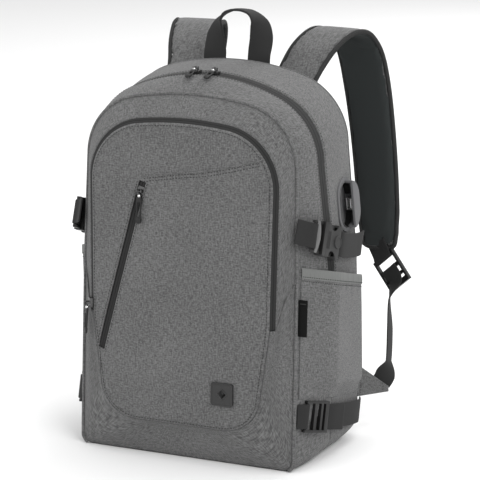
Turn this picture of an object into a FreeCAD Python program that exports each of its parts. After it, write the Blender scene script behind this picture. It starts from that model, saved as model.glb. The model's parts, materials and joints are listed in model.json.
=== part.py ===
import FreeCAD, Part
import math
import os
from dataclasses import dataclass

from FreeCAD import Placement, Rotation, Vector

# Laptop backpack with an outside charging port. Millimetres, +Z up, the bag's front faces -Y and the
# wearer's side +Y. The origin is the middle of the flat base, on the ground.

# ---- Shell: four arch-shaped seams carry the body, front to back -------------------------------------


@dataclass(frozen=True)
class Arch:
    """A round-topped outline lying in a plane that leans about X."""

    base_y: float       # where its plane meets the ground
    tilt: float         # lean of the plane, degrees, positive leans back with height
    half_width: float   # at the height where the shoulder arc ends
    height: float
    crown_r: float
    shoulder_r: float
    waist_half: float   # half width at waist_z
    waist_z: float
    foot_half: float
    foot_z: float
    foot_r: float

    def shoulder(self):
        """Centre of the right shoulder arc, and the angle where it meets the crown."""
        x = self.half_width - self.shoulder_r
        rise = math.sqrt((self.crown_r - self.shoulder_r) ** 2 - x ** 2)
        return x, self.height - self.crown_r + rise, math.atan2(rise, x)

    def y_at(self, z):
        """Y of the arch's plane at height z."""
        return self.base_y + z * math.tan(math.radians(self.tilt))

    def half_at(self, z):
        """Half width at height z, up to the top of the shoulder arc."""
        sx, sz, _ = self.shoulder()
        if z <= self.waist_z:
            share = max(0.0, z - self.foot_z - self.foot_r) / (self.waist_z - self.foot_z - self.foot_r)
            return self.foot_half + (self.waist_half - self.foot_half) * share
        if z <= sz:
            return self.waist_half + (self.half_width - self.waist_half) * (z - self.waist_z) / (sz - self.waist_z)
        return sx + math.sqrt(max(0.0, self.shoulder_r ** 2 - (z - sz) ** 2))

    def beside(self, out, behind, z):
        """Point off the arch's right edge at height z."""
        return Vector(self.half_at(z) + out, self.y_at(z) + behind, z)


BAG_HEIGHT = 444.3       # to the crown of the rear seam
BAG_WIDTH = 304.0        # across the main zip at the waist
BODY_DEPTH = 163.4       # from the piping to the back, on the ground
POCKET_STAND = 22.0      # how far the front pocket stands ahead of the piping, on the ground
BASE_SHIFT = 0.7         # the body's middle behind the origin
ZIP_SHARE = 0.3917       # share of the body's depth ahead of the main zip
WAIST_SHARE = 0.5064     # height of the widest place over the bag's height

HALF = BAG_WIDTH / 2
FRONT_Y = BASE_SHIFT - BODY_DEPTH / 2
BACK_Y = BASE_SHIFT + BODY_DEPTH / 2
WAIST_Z = BAG_HEIGHT * WAIST_SHARE

POCKET_SEAM = Arch(base_y=FRONT_Y - POCKET_STAND, tilt=1.85, half_width=HALF - 36.0, height=BAG_HEIGHT - 47.3,
                   crown_r=400.0, shoulder_r=70.0, waist_half=HALF - 38.0, waist_z=WAIST_Z - 60.0,
                   foot_half=HALF - 48.0, foot_z=41.0, foot_r=50.0)
PIPING_SEAM = Arch(base_y=FRONT_Y, tilt=2.76, half_width=HALF - 23.0, height=BAG_HEIGHT - 22.3,
                   crown_r=360.0, shoulder_r=71.0, waist_half=HALF - 19.5, waist_z=WAIST_Z,
                   foot_half=HALF - 18.0, foot_z=0.0, foot_r=12.0)
ZIP_SEAM = Arch(base_y=FRONT_Y + BODY_DEPTH * ZIP_SHARE, tilt=-0.38, half_width=HALF - 13.0,
                height=BAG_HEIGHT - 6.3, crown_r=220.0, shoulder_r=82.0, waist_half=HALF, waist_z=WAIST_Z,
                foot_half=HALF - 4.0, foot_z=0.0, foot_r=24.0)
BACK_SEAM = Arch(base_y=BACK_Y, tilt=-3.67, half_width=HALF - 12.0, height=BAG_HEIGHT,
                 crown_r=292.0, shoulder_r=79.0, waist_half=HALF - 4.0, waist_z=WAIST_Z,
                 foot_half=HALF - 4.0, foot_z=0.0, foot_r=24.0)

SHELL_T = 3.0            # fabric, foam and lining together
BASE_T = 8.0
BACK_T = 5.0             # back cloth with its stiffener
BACK_FOOT_Z = 50.0       # the back panel ends here and the base carries on round the corner
BASE_REAR_R = 34.0       # large round from the base up to the back
SEAM_GAP = 0.4           # between the side label and the seam it is sewn in
DIVIDER_T = 3.0
DIVIDER_GAP = 29.0       # laptop space ahead of the back panel
DIVIDER_IN = 14.0        # divider's edge inside the rear seam
DIVIDER_DROP = 124.0     # its top below the crown
ORGANISER_T = 3.0
ORGANISER_BEHIND = 8.0   # organiser pocket behind the front panel's face
ORGANISER_IN = 9.0
ORGANISER_Z = (60.0, 330.0)
BACK_PAD_T = 5.0
BACK_PAD_IN = 26.0
BACK_PAD_SPLIT = 12.0    # gap between the two back pads

# ---- Zips --------------------------------------------------------------------------------------------
MAIN_ZIP_W = 19.0
MAIN_ZIP_END_Z = WAIST_Z - 33.0
ZIP_T = 2.0
POCKET_ZIP_IN = 4.5      # the pocket zip is a bevel from here inside the seam ...
POCKET_ZIP_OUT = 1.5     # ... to here outside it
POCKET_ZIP_DEEP = 6.0
POCKET_ZIP_END_Z = POCKET_SEAM.waist_z + 2.0
DIAGONAL_TOP = (-45.6, POCKET_SEAM.height - 72.6)
DIAGONAL_FOOT = (14.8 - POCKET_SEAM.waist_half, 0.28 * BAG_HEIGHT)
DIAGONAL_W = 9.0

# ---- Sliders and pullers -----------------------------------------------------------------------------
SLIDER_L = 11.0
SLIDER_W = 8.0
SLIDER_H = 3.6
SLIDER_LIFT = 0.4        # clear of the tape
PIN_R = 1.0
PIN_PLAY = 0.1           # radial play of a puller's eye on its pin
EYE_R = 2.2
EYE_W = 3.0
EYE_SIDE_PLAY = 0.4
POST_W = 1.2
EYE_LIFT = 0.4           # an eye clear of the slider's top
PIN_HEIGHT = SLIDER_LIFT + SLIDER_H + EYE_R + EYE_LIFT
PULLER_W = 7.0
PULLER_T = 1.6
MAIN_PULLER_L = 26.0
HANGING_PULLER_L = 37.0
MAIN_SLIDER_ANGLES = {"left": -3.8, "right": 2.2}   # degrees round the crown from its top
MAIN_PULLER_DROOP = 20.0
FRONT_SLIDER_Z = POCKET_ZIP_END_Z + 9.0
DIAGONAL_SLIDER_DOWN = 12.0

# ---- Front trims -------------------------------------------------------------------------------------
BADGE_SIZE = 27.0
BADGE_T = 1.6
BADGE_XZ = (POCKET_SEAM.waist_half - 58.6, 89.0)
LABEL_W = 11.0
LABEL_H = 42.0
LABEL_T = 1.2
LABEL_Z = WAIST_Z - 46.0
LABEL_OFF = 1.4          # from the piping seam's line
PIPING_D = 4.0

# ---- Webbing, buckles and ladder locks ---------------------------------------------------------------
WEB_W = 28.0
WEB_T = 1.8
BAR_R = 2.0              # round bar a sewn loop turns on
BAR_PLAY = 0.1
LOOP_R = 3.9
RAIL_W = 2.8
RAIL_PLAY = 1.2
UPPER_STRAP_Z = WAIST_Z + 54.0
UPPER_STRAP_SEW = PIPING_SEAM.beside(3.9, -8.4, UPPER_STRAP_Z)
BUCKLE_START = UPPER_STRAP_SEW + Vector(13.2, 15.0, -7.0)
BUCKLE_RUN = Vector(10.0, 56.0, -21.0).normalize()
UPPER_REAR_Z = UPPER_STRAP_Z - 38.0
UPPER_STRAP_REAR = (BACK_SEAM.beside(12.5, -28.9, UPPER_REAR_Z), BACK_SEAM.beside(10.3, -5.1, UPPER_REAR_Z - 3.0),
                    BACK_SEAM.beside(2.9, 2.8, UPPER_REAR_Z - 4.0))
BUCKLE_W = WEB_W + 10.0
BUCKLE_T = 11.0
BUCKLE_WALL = 1.2
PLUG_FACE = 20.0         # along the buckle, where the socket's mouth meets the plug
SOCKET_L = 37.0
LATCH_X = 34.0
LATCH_R = 5.2
NOTCH_R = 8.0
PRONG_PIN_R = 1.2
PLUG_GAP = 0.3           # between the plug's body and the socket's mouth
PRONG_T = 1.4            # plates above and below a prong's root
PRONG_ROOT = (23.5, BUCKLE_W / 2 - 9.5)
LATCH_Y = BUCKLE_W / 2 - 5.8
ARM_Y = (BUCKLE_W / 2 - 11.4, BUCKLE_W / 2 - 7.6)
BOSS_R = 7.2
BOSS_H = 1.2
FRAME_HALF_T = 2.5       # half thickness of the frame round a sewn loop
PLUG_BODY_X = 13.0
TONGUE_END_X = 44.0
TONGUE_HALF_W = 2.4
PRONG_EYE_R = 2.6
PRONG_PLAY = 0.08
ARM_END_X = 45.0
SOCKET_SIDE = 2.5
SOCKET_FRAME_L = 8.0
LOWER_STRAP_Z = 64.6
LOWER_STRAP_SEW = PIPING_SEAM.beside(2.6, 2.7, LOWER_STRAP_Z)
LOWER_BAR = LOWER_STRAP_SEW + Vector(5.8, 9.2, -1.6)
LOWER_RUN = Vector(14.0, 49.0, -13.0).normalize()
LOWER_REAR_Z = LOWER_STRAP_Z - 30.6
LOWER_STRAP_REAR = (BACK_SEAM.beside(8.0, -49.8, LOWER_REAR_Z + 6.0), BACK_SEAM.beside(7.5, -17.2, LOWER_REAR_Z),
                    BACK_SEAM.beside(1.4, -1.0, LOWER_REAR_Z - 2.5))
LOCK_L = 42.0
LOCK_T = 5.0
LOCK_GAP = 0.5           # between a ladder lock and the webbing under it
LOCK_BARS = ((13.0, 18.0, 0.8), (25.0, 29.0, 0.8), (LOCK_L - 9.0, LOCK_L - LOCK_T / 2, 1.0))   # from, to, share of T
BAR_BITE = 0.5           # how far cross bars run into the rails

# ---- Side pockets ------------------------------------------------------------------------------------
POCKET_DEPTH = 12.0      # how far the pocket stands off the bag's side
POCKET_T = 2.0
POCKET_MOUTH_FRONT_Z = WAIST_Z + 11.0
POCKET_MOUTH_REAR_Z = WAIST_Z - 26.0
POCKET_FOOT_FRONT_Z = LOWER_STRAP_Z + WEB_W / 2 + 5.4
POCKET_FOOT_REAR_Z = LOWER_REAR_Z + WEB_W / 2 + 4.0
HEM_H = 12.0
POCKET_SEAM_IN = 3.0     # the pocket's edges from the piping and from the back seam
HEM_EXTRA = 0.8          # the elastic is this much thicker than the pocket wall

# ---- Shoulder straps (right one; the left is its mirror) ---------------------------------------------
PAD_T = 10.0
PAD_GAP = 2.0            # clear of the back panel where it hangs from the yoke
YOKE = Vector(0.0, BACK_Y, BAG_HEIGHT)
PAD_ROUTE = (            # middle line from the yoke, and the pad's width there
    (Vector(70.0, 0.6, -14.3), 54.0), (Vector(78.0, 25.6, 10.7), 58.0), (Vector(87.0, 57.6, 24.7), 60.0),
    (Vector(95.0, 87.6, 20.7), 60.0), (Vector(104.0, 105.6, -4.3), 60.0), (Vector(113.0, 107.6, -44.3), 60.0),
    (Vector(122.0, 103.6, -94.3), 58.0), (Vector(130.0, 97.6, -149.3), 56.0), (Vector(136.0, 90.6, -196.3), 54.0),
    (Vector(140.0, 85.6, -228.3), 44.0), (Vector(141.5, 84.1, -238.3), 30.0))
PAD_ACROSS = Vector(1.0, -0.12, 0.0)
PAD_ROOT_X = 68.0
PAD_ROOT_W = 50.0
PAD_ROOT_DROP = (44.3, 37.3)  # the yoke end lies flat behind the back panel between these depths under the crown
ADJUSTER_BAR = YOKE + PAD_ROUTE[-1][0] + Vector(5.7, -1.0, -10.6)
ADJUSTER_RUN = Vector(20.8, -5.5, -25.4).normalize()
TAB_TIP = Vector(BACK_SEAM.foot_half + 20.0, BACK_Y + 45.6, 54.0)
WEBBING_WAY = (          # share of the way to the tab, and the bend off the straight line there
    (0.321, Vector(6.1, -2.5, 0.0)), (0.59, Vector(3.5, 2.6, 0.0)), (0.844, Vector(0.2, 4.2, 0.0)),
    (0.958, Vector(-0.1, 1.4, 0.0)))
WEBBING_TWIST = (0.3, 0.6, 0.9, 1.0)   # how far the webbing has turned to the tab at each point
WEBBING_NARROWER = 3.0   # than the sewn webbing, to run through the adjuster
WEBBING_DIP = 0.09 * WEB_W   # away from the lock at its far end, where the webbing starts to turn
TAB_ACROSS = Vector(0.9, 0.45, -0.1)
TAB_ROOT_TOP_Z = 86.0
TAB_ROOT_FOOT_Z = 46.0
TAB_ROOT_IN = 3.0
TAB_CLEAR = 0.6          # behind the rear seam
TAB_TIP_SHARE = 0.22     # length of the tab's outer edge over its sewn edge
TAB_T = 3.0

# ---- Grab handle -------------------------------------------------------------------------------------
HANDLE_W = 28.0
HANDLE_T = 3.0
HANDLE_ROUTE = (          # right half: distance out, height over the sewing line, set back, across direction
    (28.0, 4.0, 0.0, (1.0, 0.0, 0.0)), (28.0, 20.0, 3.0, (1.0, 0.0, 0.0)), (29.0, 40.0, 7.0, (0.9, 0.4, 0.0)),
    (24.0, 58.0, 10.0, (0.6, 0.7, -0.4)), (11.0, 68.0, 11.0, (0.2, 0.98, -0.1)))
HANDLE_SEW_DROP = 14.3    # under the crown
HANDLE_GAP = 2.0

# ---- Charging port -----------------------------------------------------------------------------------
PORT_NORMAL = Vector(0.995, 0.0, 0.1)
PORT_W = 44.0
PORT_H = 63.0
PORT_T = 2.5
PORT_RIM = 6.0
HOOD_H = 11.5
HOOD_T = 2.5
HOOD_IN = 4.0            # how far the hood's ends stay inside the bezel's
USB_W = 14.5
USB_H = 7.0
USB_L = 12.0
USB_WALL = 0.9
USB_X = 3.6              # along the port from its middle
USB_LIFT = 1.2
TONGUE_IN = 2.0          # tongue's edges inside the shell
TONGUE_Z = (3.7, 5.2)    # over the shell's foot
POST_L = 3.0             # post that carries the shell
TRAY_D = 7.0
TRAY_T = 2.0
TRAY_WALL = 1.5
PORT_STRAP_GAP = 1.5     # over the upper strap's webbing
PORT_Z = UPPER_REAR_Z + WEB_W / 2 + PORT_STRAP_GAP + PORT_H / 2
PORT_AHEAD = 47.4        # of the rear seam's foot
PORT_LIFT = 1.4          # bezel's underside off the straight side

BIG = 700.0
UP = Vector(0, 0, 1)


# ---- Geometry helpers --------------------------------------------------------------------------------


def outline(arch, grow=0.0, sink=0.0, back=0.0):
    """Closed wire of an arch, grown outwards, its foot sunk, moved back along the plane's normal."""
    sx, sz, join = arch.shoulder()
    crown_z = arch.height - arch.crown_r
    crown_r = arch.crown_r + grow
    shoulder_r = arch.shoulder_r + grow
    foot_r = arch.foot_r + grow
    foot_x = arch.foot_half - arch.foot_r
    foot_z = arch.foot_z + arch.foot_r - sink

    def on(cx, cz, r, angle):
        return Vector(cx + r * math.cos(angle), back, cz + r * math.sin(angle))

    def flip(p):
        return Vector(-p.x, p.y, p.z)

    top = on(0, crown_z, crown_r, math.pi / 2)
    crown_end = on(0, crown_z, crown_r, join)
    shoulder_mid = on(sx, sz, shoulder_r, join / 2)
    shoulder_end = on(sx, sz, shoulder_r, 0)
    waist = Vector(arch.waist_half + grow, back, arch.waist_z)
    foot_top = on(foot_x, foot_z, foot_r, 0)
    foot_mid = on(foot_x, foot_z, foot_r, -math.pi / 4)
    foot_end = on(foot_x, foot_z, foot_r, -math.pi / 2)
    edges = [
        Part.Arc(flip(crown_end), top, crown_end).toShape(),
        Part.Arc(crown_end, shoulder_mid, shoulder_end).toShape(),
        Part.makeLine(shoulder_end, waist),
        Part.makeLine(waist, foot_top),
        Part.Arc(foot_top, foot_mid, foot_end).toShape(),
        Part.makeLine(foot_end, flip(foot_end)),
        Part.Arc(flip(foot_end), flip(foot_mid), flip(foot_top)).toShape(),
        Part.makeLine(flip(foot_top), flip(waist)),
        Part.makeLine(flip(waist), flip(shoulder_end)),
        Part.Arc(flip(shoulder_end), flip(shoulder_mid), flip(crown_end)).toShape(),
    ]
    wire = Part.Wire(edges)
    wire.rotate(Vector(0, 0, 0), Vector(1, 0, 0), -arch.tilt)
    wire.translate(Vector(0, arch.base_y, 0))
    return wire


def hull(*wires):
    """Solid with straight walls through the wires."""
    return Part.makeLoft(list(wires), True, True)


def side_x(y, z):
    """Half width of the body at a depth and height."""
    seams = (PIPING_SEAM, ZIP_SEAM, BACK_SEAM)
    near = 0 if y < ZIP_SEAM.y_at(z) else 1
    ahead, behind = seams[near], seams[near + 1]
    share = (y - ahead.y_at(z)) / (behind.y_at(z) - ahead.y_at(z))
    return ahead.half_at(z) + (behind.half_at(z) - ahead.half_at(z)) * share


def port_centre():
    """Middle of the charging port's foot."""
    y = BACK_Y - PORT_AHEAD
    return Vector(side_x(y, PORT_Z) + PORT_LIFT, y, PORT_Z)


def slab(arch, near, far):
    """Endless slab parallel to an arch's plane, from near to far behind it."""
    block = Part.makeBox(BIG, far - near, 2 * BIG, Vector(-BIG / 2, near, -BIG))
    block.rotate(Vector(0, 0, 0), Vector(1, 0, 0), -arch.tilt)
    block.translate(Vector(0, arch.base_y, 0))
    return block


def above(z):
    """Everything higher than z."""
    return Part.makeBox(BIG, BIG, BIG, Vector(-BIG / 2, -BIG / 2, z))


def prism_x(points, x0, x1):
    """Polygon in the YZ plane, drawn out from x0 to x1."""
    corners = [Vector(x0, y, z) for y, z in points]
    return Part.Face(Part.makePolygon(corners + corners[:1])).extrude(Vector(x1 - x0, 0, 0))


def side_profile(inset=0.0):
    """The bag's side view with the large round at the rear of its base."""
    lean = math.radians(BACK_SEAM.tilt)
    r = BASE_REAR_R - inset
    centre = Vector(-BIG / 2, BACK_SEAM.y_at(BASE_REAR_R) - BASE_REAR_R / math.cos(lean), BASE_REAR_R)
    foot = centre + Vector(0, 0, -r)
    out = Vector(0, math.cos(lean), -math.sin(lean))
    heel = centre + (out + Vector(0, 0, -1)).normalize() * r
    back = centre + out * r
    rise = Vector(0, math.sin(lean), math.cos(lean)) * BIG
    top = back + rise
    front_top = Vector(-BIG / 2, -BIG / 2, top.z)
    front = Vector(-BIG / 2, -BIG / 2, foot.z)
    wire = Part.Wire([Part.makeLine(front, foot), Part.Arc(foot, heel, back).toShape(), Part.makeLine(back, top),
                      Part.makeLine(top, front_top), Part.makeLine(front_top, front)])
    return Part.Face(wire).extrude(Vector(BIG, 0, 0))


def place(shape, origin, along, normal):
    """Put a shape built on local X (along) and Z (normal) at origin."""
    z = Vector(normal).normalize()
    x = (Vector(along) - z * Vector(along).dot(z)).normalize()
    shape.Placement = Placement(origin, Rotation(x, z.cross(x), z, "ZXY")).multiply(shape.Placement)
    return shape


def mirrored(shape):
    """The same piece on the bag's other side."""
    return shape.mirror(Vector(0, 0, 0), Vector(1, 0, 0))


def box(x0, x1, y0, y1, z0, z1):
    """Box from its limits."""
    return Part.makeBox(x1 - x0, y1 - y0, z1 - z0, Vector(x0, y0, z0))


def rod(radius, centre, half_length, axis):
    """Cylinder centred on a point."""
    start = centre - axis * half_length
    return Part.makeCylinder(radius, 2 * half_length, start, axis)


def stadium(width, height, z0, z1):
    """Upright oval plate with half-round ends, width along X and height along Y."""
    r = width / 2
    half = height / 2 - r
    plate = box(-r, r, -half, half, z0, z1)
    for y in (-half, half):
        plate = plate.fuse(Part.makeCylinder(r, z1 - z0, Vector(0, y, z0), UP))
    return plate.removeSplitter()


def ribbon(points, widths, thickness, across):
    """Flat band through points; across gives its width direction, one vector or one for each point."""
    count = len(points)
    widths = widths if isinstance(widths, (list, tuple)) else [widths] * count
    across = across if isinstance(across, (list, tuple)) else [across] * count
    sections = []
    for i, point in enumerate(points):
        run = points[min(i + 1, count - 1)] - points[max(i - 1, 0)]
        run.normalize()
        wide = (across[i] - run * across[i].dot(run)).normalize()
        thick = run.cross(wide).normalize() * (thickness / 2)
        wide = wide * (widths[i] / 2)
        corners = [point + wide + thick, point - wide + thick, point - wide - thick, point + wide - thick]
        sections.append(Part.makePolygon(corners + corners[:1]))
    return Part.makeLoft(sections, True, True)


# ---- Body panels -------------------------------------------------------------------------------------


def body_hull(grow=0.0, sink=0.0):
    """Outer form of the main compartment."""
    seams = (PIPING_SEAM, ZIP_SEAM, BACK_SEAM)
    return hull(*[outline(seam, grow, sink) for seam in seams])


def body_panels():
    """Front wall, gussets, main zip, base, back and the parts that hang inside."""
    outer = body_hull().common(side_profile())
    inner = body_hull(-SHELL_T, 2 * BASE_REAR_R)
    ring = outer.cut(inner)
    zip_gap = slab(ZIP_SEAM, -MAIN_ZIP_W / 2, MAIN_ZIP_W / 2).common(above(MAIN_ZIP_END_Z))
    front_gusset = ring.common(slab(ZIP_SEAM, -BIG / 2, -MAIN_ZIP_W / 2))
    rear_gusset = ring.cut(slab(ZIP_SEAM, -BIG / 2, -MAIN_ZIP_W / 2)).cut(zip_gap)
    port_hole = place(stadium(PORT_W - PORT_RIM, PORT_H - PORT_RIM, -20, 20), port_centre(), Vector(0, 1, 0),
                      PORT_NORMAL)
    rear_gusset = rear_gusset.cut(port_hole)
    tape_ring = body_hull(-SLIDER_LIFT).cut(body_hull(-SLIDER_LIFT - ZIP_T, 2 * BASE_REAR_R))
    main_zip = tape_ring.common(zip_gap)

    filling = inner.common(outer)
    front_wall = filling.common(slab(PIPING_SEAM, 0, SHELL_T))
    back_panel = filling.common(slab(BACK_SEAM, -BACK_T, 0)).common(above(BACK_FOOT_Z))
    behind = slab(BACK_SEAM, -BACK_T, BACK_T).common(above(BACK_FOOT_Z))
    base = filling.cut(side_profile(BASE_T)).cut(front_wall).cut(behind)
    divider = hull(outline(BACK_SEAM, -DIVIDER_IN, 0, -DIVIDER_GAP - BACK_T),
                   outline(BACK_SEAM, -DIVIDER_IN, 0, -DIVIDER_GAP - BACK_T + DIVIDER_T))
    divider = divider.common(above(2 * BASE_T)).cut(above(BAG_HEIGHT - DIVIDER_DROP))
    return {"front_wall": front_wall, "front_gusset": front_gusset, "rear_gusset": rear_gusset,
            "main_zip_tape": main_zip, "base_panel": base, "back_panel": back_panel, "laptop_divider": divider}


def front_pocket():
    """The pocket that stands proud of the front: panel, bevelled zip, gusset and lower panel."""
    seam = POCKET_SEAM
    face_wire = outline(seam, -POCKET_ZIP_IN)
    panel = hull(face_wire, outline(seam, -POCKET_ZIP_IN, 0, SHELL_T))
    bevel = hull(face_wire, outline(seam, POCKET_ZIP_OUT, 0, POCKET_ZIP_DEEP))
    bevel_in = hull(outline(seam, -POCKET_ZIP_IN - ZIP_T), outline(seam, POCKET_ZIP_OUT - ZIP_T, 0, POCKET_ZIP_DEEP))
    tape = bevel.cut(bevel_in).cut(panel)
    wall = hull(outline(seam, POCKET_ZIP_OUT, 0, POCKET_ZIP_DEEP), outline(PIPING_SEAM, -PIPING_D / 2))
    wall_in = hull(outline(seam, POCKET_ZIP_OUT - SHELL_T, 0, POCKET_ZIP_DEEP),
                   outline(PIPING_SEAM, -PIPING_D / 2 - SHELL_T))
    wall = wall.cut(wall_in)
    top = above(POCKET_ZIP_END_Z)
    lower = wall.cut(top).fuse(tape.cut(top)).removeSplitter()

    foot = Vector(DIAGONAL_FOOT[0], 0, DIAGONAL_FOOT[1])
    run = Vector(DIAGONAL_TOP[0], 0, DIAGONAL_TOP[1]) - foot
    strip = box(0, run.Length, -DIAGONAL_W / 2, DIAGONAL_W / 2, 0, ZIP_T)
    strip = place(strip, foot + Vector(0, SLIDER_LIFT + ZIP_T, 0), run, Vector(0, -1, 0))
    slot = place(box(0, run.Length, -DIAGONAL_W / 2, DIAGONAL_W / 2, -BACK_T, BACK_T), foot, run, Vector(0, -1, 0))
    for piece in (strip, slot):
        piece.rotate(Vector(0, 0, 0), Vector(1, 0, 0), -seam.tilt)
        piece.translate(Vector(0, seam.base_y, 0))

    badge = box(BADGE_XZ[0] - BADGE_SIZE / 2, BADGE_XZ[0] + BADGE_SIZE / 2, -BADGE_T, 0,
                BADGE_XZ[1] - BADGE_SIZE / 2, BADGE_XZ[1] + BADGE_SIZE / 2)
    badge.rotate(Vector(0, 0, 0), Vector(1, 0, 0), -seam.tilt)
    badge.translate(Vector(0, seam.base_y, 0))
    piping = hull(outline(PIPING_SEAM, PIPING_D / 2, 0, -PIPING_D), outline(PIPING_SEAM, PIPING_D / 2)).cut(
        hull(outline(PIPING_SEAM, -PIPING_D / 2, 0, -PIPING_D), outline(PIPING_SEAM, -PIPING_D / 2)))
    piping = piping.cut(wall).cut(lower).common(above(0))
    organiser = hull(outline(seam, -ORGANISER_IN, 0, ORGANISER_BEHIND),
                     outline(seam, -ORGANISER_IN, 0, ORGANISER_BEHIND + ORGANISER_T))
    low, high = ORGANISER_Z
    organiser = organiser.common(above(low)).cut(above(high))
    return {"front_organiser": organiser, "pocket_panel": panel.cut(slot), "front_zip_tape": tape.common(top),
            "pocket_gusset": wall.common(top),
            "lower_front_panel": lower, "diagonal_zip_tape": strip, "badge_patch": badge, "piping": piping}


def back_pads():
    """Two flat pads on the wearer's side of the back panel."""
    pads = {}
    split = WAIST_Z - 10.0
    form = hull(outline(BACK_SEAM, -BACK_PAD_IN), outline(BACK_SEAM, -BACK_PAD_IN, 0, BACK_PAD_T))
    for name, low, high in (("back_pad_lower", BACK_FOOT_Z + 14.0, split),
                            ("back_pad_upper", split + BACK_PAD_SPLIT, BAG_HEIGHT - 66.3)):
        pads[name] = form.common(above(low)).cut(above(high))
    return pads


def side_label():
    """Folded woven label sewn into the seam behind the piping."""
    x0 = PIPING_SEAM.waist_half + LABEL_OFF
    label = box(x0, x0 + LABEL_W, SEAM_GAP, SEAM_GAP + LABEL_T, LABEL_Z - LABEL_H / 2, LABEL_Z + LABEL_H / 2)
    label.rotate(Vector(0, 0, 0), Vector(1, 0, 0), -PIPING_SEAM.tilt)
    label.translate(Vector(0, PIPING_SEAM.base_y, 0))
    return label


def side_pocket():
    """Right-hand bottle pocket and its elastic hem."""
    mouth_y = PIPING_SEAM.y_at(POCKET_MOUTH_FRONT_Z), BACK_SEAM.y_at(POCKET_MOUTH_REAR_Z)
    foot_y = PIPING_SEAM.y_at(POCKET_FOOT_FRONT_Z), BACK_SEAM.y_at(POCKET_FOOT_REAR_Z)
    mouth_slope = (POCKET_MOUTH_REAR_Z - POCKET_MOUTH_FRONT_Z) / (mouth_y[1] - mouth_y[0])
    foot_slope = (POCKET_FOOT_REAR_Z - POCKET_FOOT_FRONT_Z) / (foot_y[1] - foot_y[0])

    def region(inset, drop, lift):
        """Side view of the pocket, its edges moved in, its mouth lowered by drop and its foot raised by lift."""
        edge = POCKET_SEAM_IN + inset
        corners = []
        for ys, slope, start_z in ((foot_y, foot_slope, POCKET_FOOT_FRONT_Z + lift),
                                   (mouth_y, mouth_slope, POCKET_MOUTH_FRONT_Z - drop)):
            for y in (ys[0] + edge, ys[1] - edge):
                corners.append((y, start_z + slope * (y - ys[0])))
        foot_front, foot_rear, mouth_front, mouth_rear = corners
        return prism_x([foot_front, mouth_front, mouth_rear, foot_rear], BIG / 10, BIG / 2)

    stand = body_hull(POCKET_DEPTH)
    hollow = body_hull(POCKET_DEPTH - POCKET_T)
    body = body_hull(SLIDER_LIFT)
    bag = stand.cut(body).common(region(0, HEM_H, 0))
    bag = bag.cut(hollow.common(region(POCKET_T, -HEM_H, POCKET_T)))
    band = body_hull(POCKET_DEPTH + HEM_EXTRA / 2).cut(body_hull(POCKET_DEPTH - POCKET_T - HEM_EXTRA / 2))
    band = band.common(region(POCKET_T, 0, 0)).cut(region(-HEM_H, HEM_H, -HEM_H))
    return bag, band


# ---- Sliders -----------------------------------------------------------------------------------------


def slider(body_turn):
    """Slider on local Z, with the puller's pin along local Y; body_turn turns its body about Z."""
    half_l, half_w = SLIDER_L / 2, SLIDER_W / 2
    top = SLIDER_LIFT + SLIDER_H
    body = box(-half_l, half_l, -half_w, half_w, SLIDER_LIFT, top)
    body.rotate(Vector(0, 0, 0), UP, body_turn)
    inside = EYE_W / 2 + EYE_SIDE_PLAY
    for side in (-1, 1):
        y0, y1 = sorted((side * inside, side * (inside + POST_W)))
        body = body.fuse(box(-PIN_R - 0.5, PIN_R + 0.5, y0, y1, top - 0.5, PIN_HEIGHT + PIN_R + 0.4))
    return body.fuse(rod(PIN_R, Vector(0, 0, PIN_HEIGHT), inside + POST_W, Vector(0, 1, 0))).removeSplitter()


def puller(length, droop):
    """Puller lying along local +X from its eye on the pin, turned down by droop degrees."""
    pin = Vector(0, 0, PIN_HEIGHT)
    half_t = PULLER_T / 2
    tab = rod(EYE_R, pin, EYE_W / 2, Vector(0, 1, 0))
    tab = tab.fuse(box(0, 7, -EYE_W / 2, EYE_W / 2, PIN_HEIGHT - half_t, PIN_HEIGHT + half_t))
    tab = tab.fuse(box(6, length, -PULLER_W / 2, PULLER_W / 2, PIN_HEIGHT - half_t, PIN_HEIGHT + half_t))
    tab = tab.cut(rod(PIN_R + PIN_PLAY, pin, EYE_W, Vector(0, 1, 0)))
    tab.rotate(pin, Vector(0, 1, 0), droop)
    return tab.removeSplitter()


def slider_seats():
    """Where each slider sits: origin on the tape, pull direction, outward normal, body turn, length, droop."""
    seats = {}
    crown_z = ZIP_SEAM.height - ZIP_SEAM.crown_r
    for side, degrees in MAIN_SLIDER_ANGLES.items():
        angle = math.radians(degrees)
        normal = Vector(math.sin(angle), 0, math.cos(angle))
        seat = Vector(0, ZIP_SEAM.y_at(ZIP_SEAM.height), crown_z) + normal * (ZIP_SEAM.crown_r - SLIDER_LIFT)
        seats["main_" + side] = (seat, Vector(0, -1, 0), normal, 90.0, MAIN_PULLER_L, MAIN_PULLER_DROOP)
    bevel = (POCKET_ZIP_OUT - POCKET_ZIP_IN) / 2
    leg_x = -(POCKET_SEAM.waist_half + bevel)
    leg_y = POCKET_SEAM.y_at(FRONT_SLIDER_Z) + POCKET_ZIP_DEEP / 2
    seats["front"] = (Vector(leg_x, leg_y, FRONT_SLIDER_Z), Vector(0, 0, -1), Vector(-1, -1, 0), 0.0,
                      HANGING_PULLER_L, 0.0)
    foot = Vector(DIAGONAL_FOOT[0], POCKET_SEAM.y_at(DIAGONAL_FOOT[1]), DIAGONAL_FOOT[1])
    top = Vector(DIAGONAL_TOP[0], POCKET_SEAM.y_at(DIAGONAL_TOP[1]), DIAGONAL_TOP[1])
    down = (foot - top).normalize()
    tilt = math.radians(POCKET_SEAM.tilt)
    normal = Vector(0, -math.cos(tilt), math.sin(tilt))
    slant = math.degrees(math.atan2(top.x - foot.x, top.z - foot.z))
    seats["diagonal"] = (top + down * DIAGONAL_SLIDER_DOWN - normal * SLIDER_LIFT, Vector(0, 0, -1), normal, -slant,
                         HANGING_PULLER_L, 0.0)
    return seats


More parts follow.
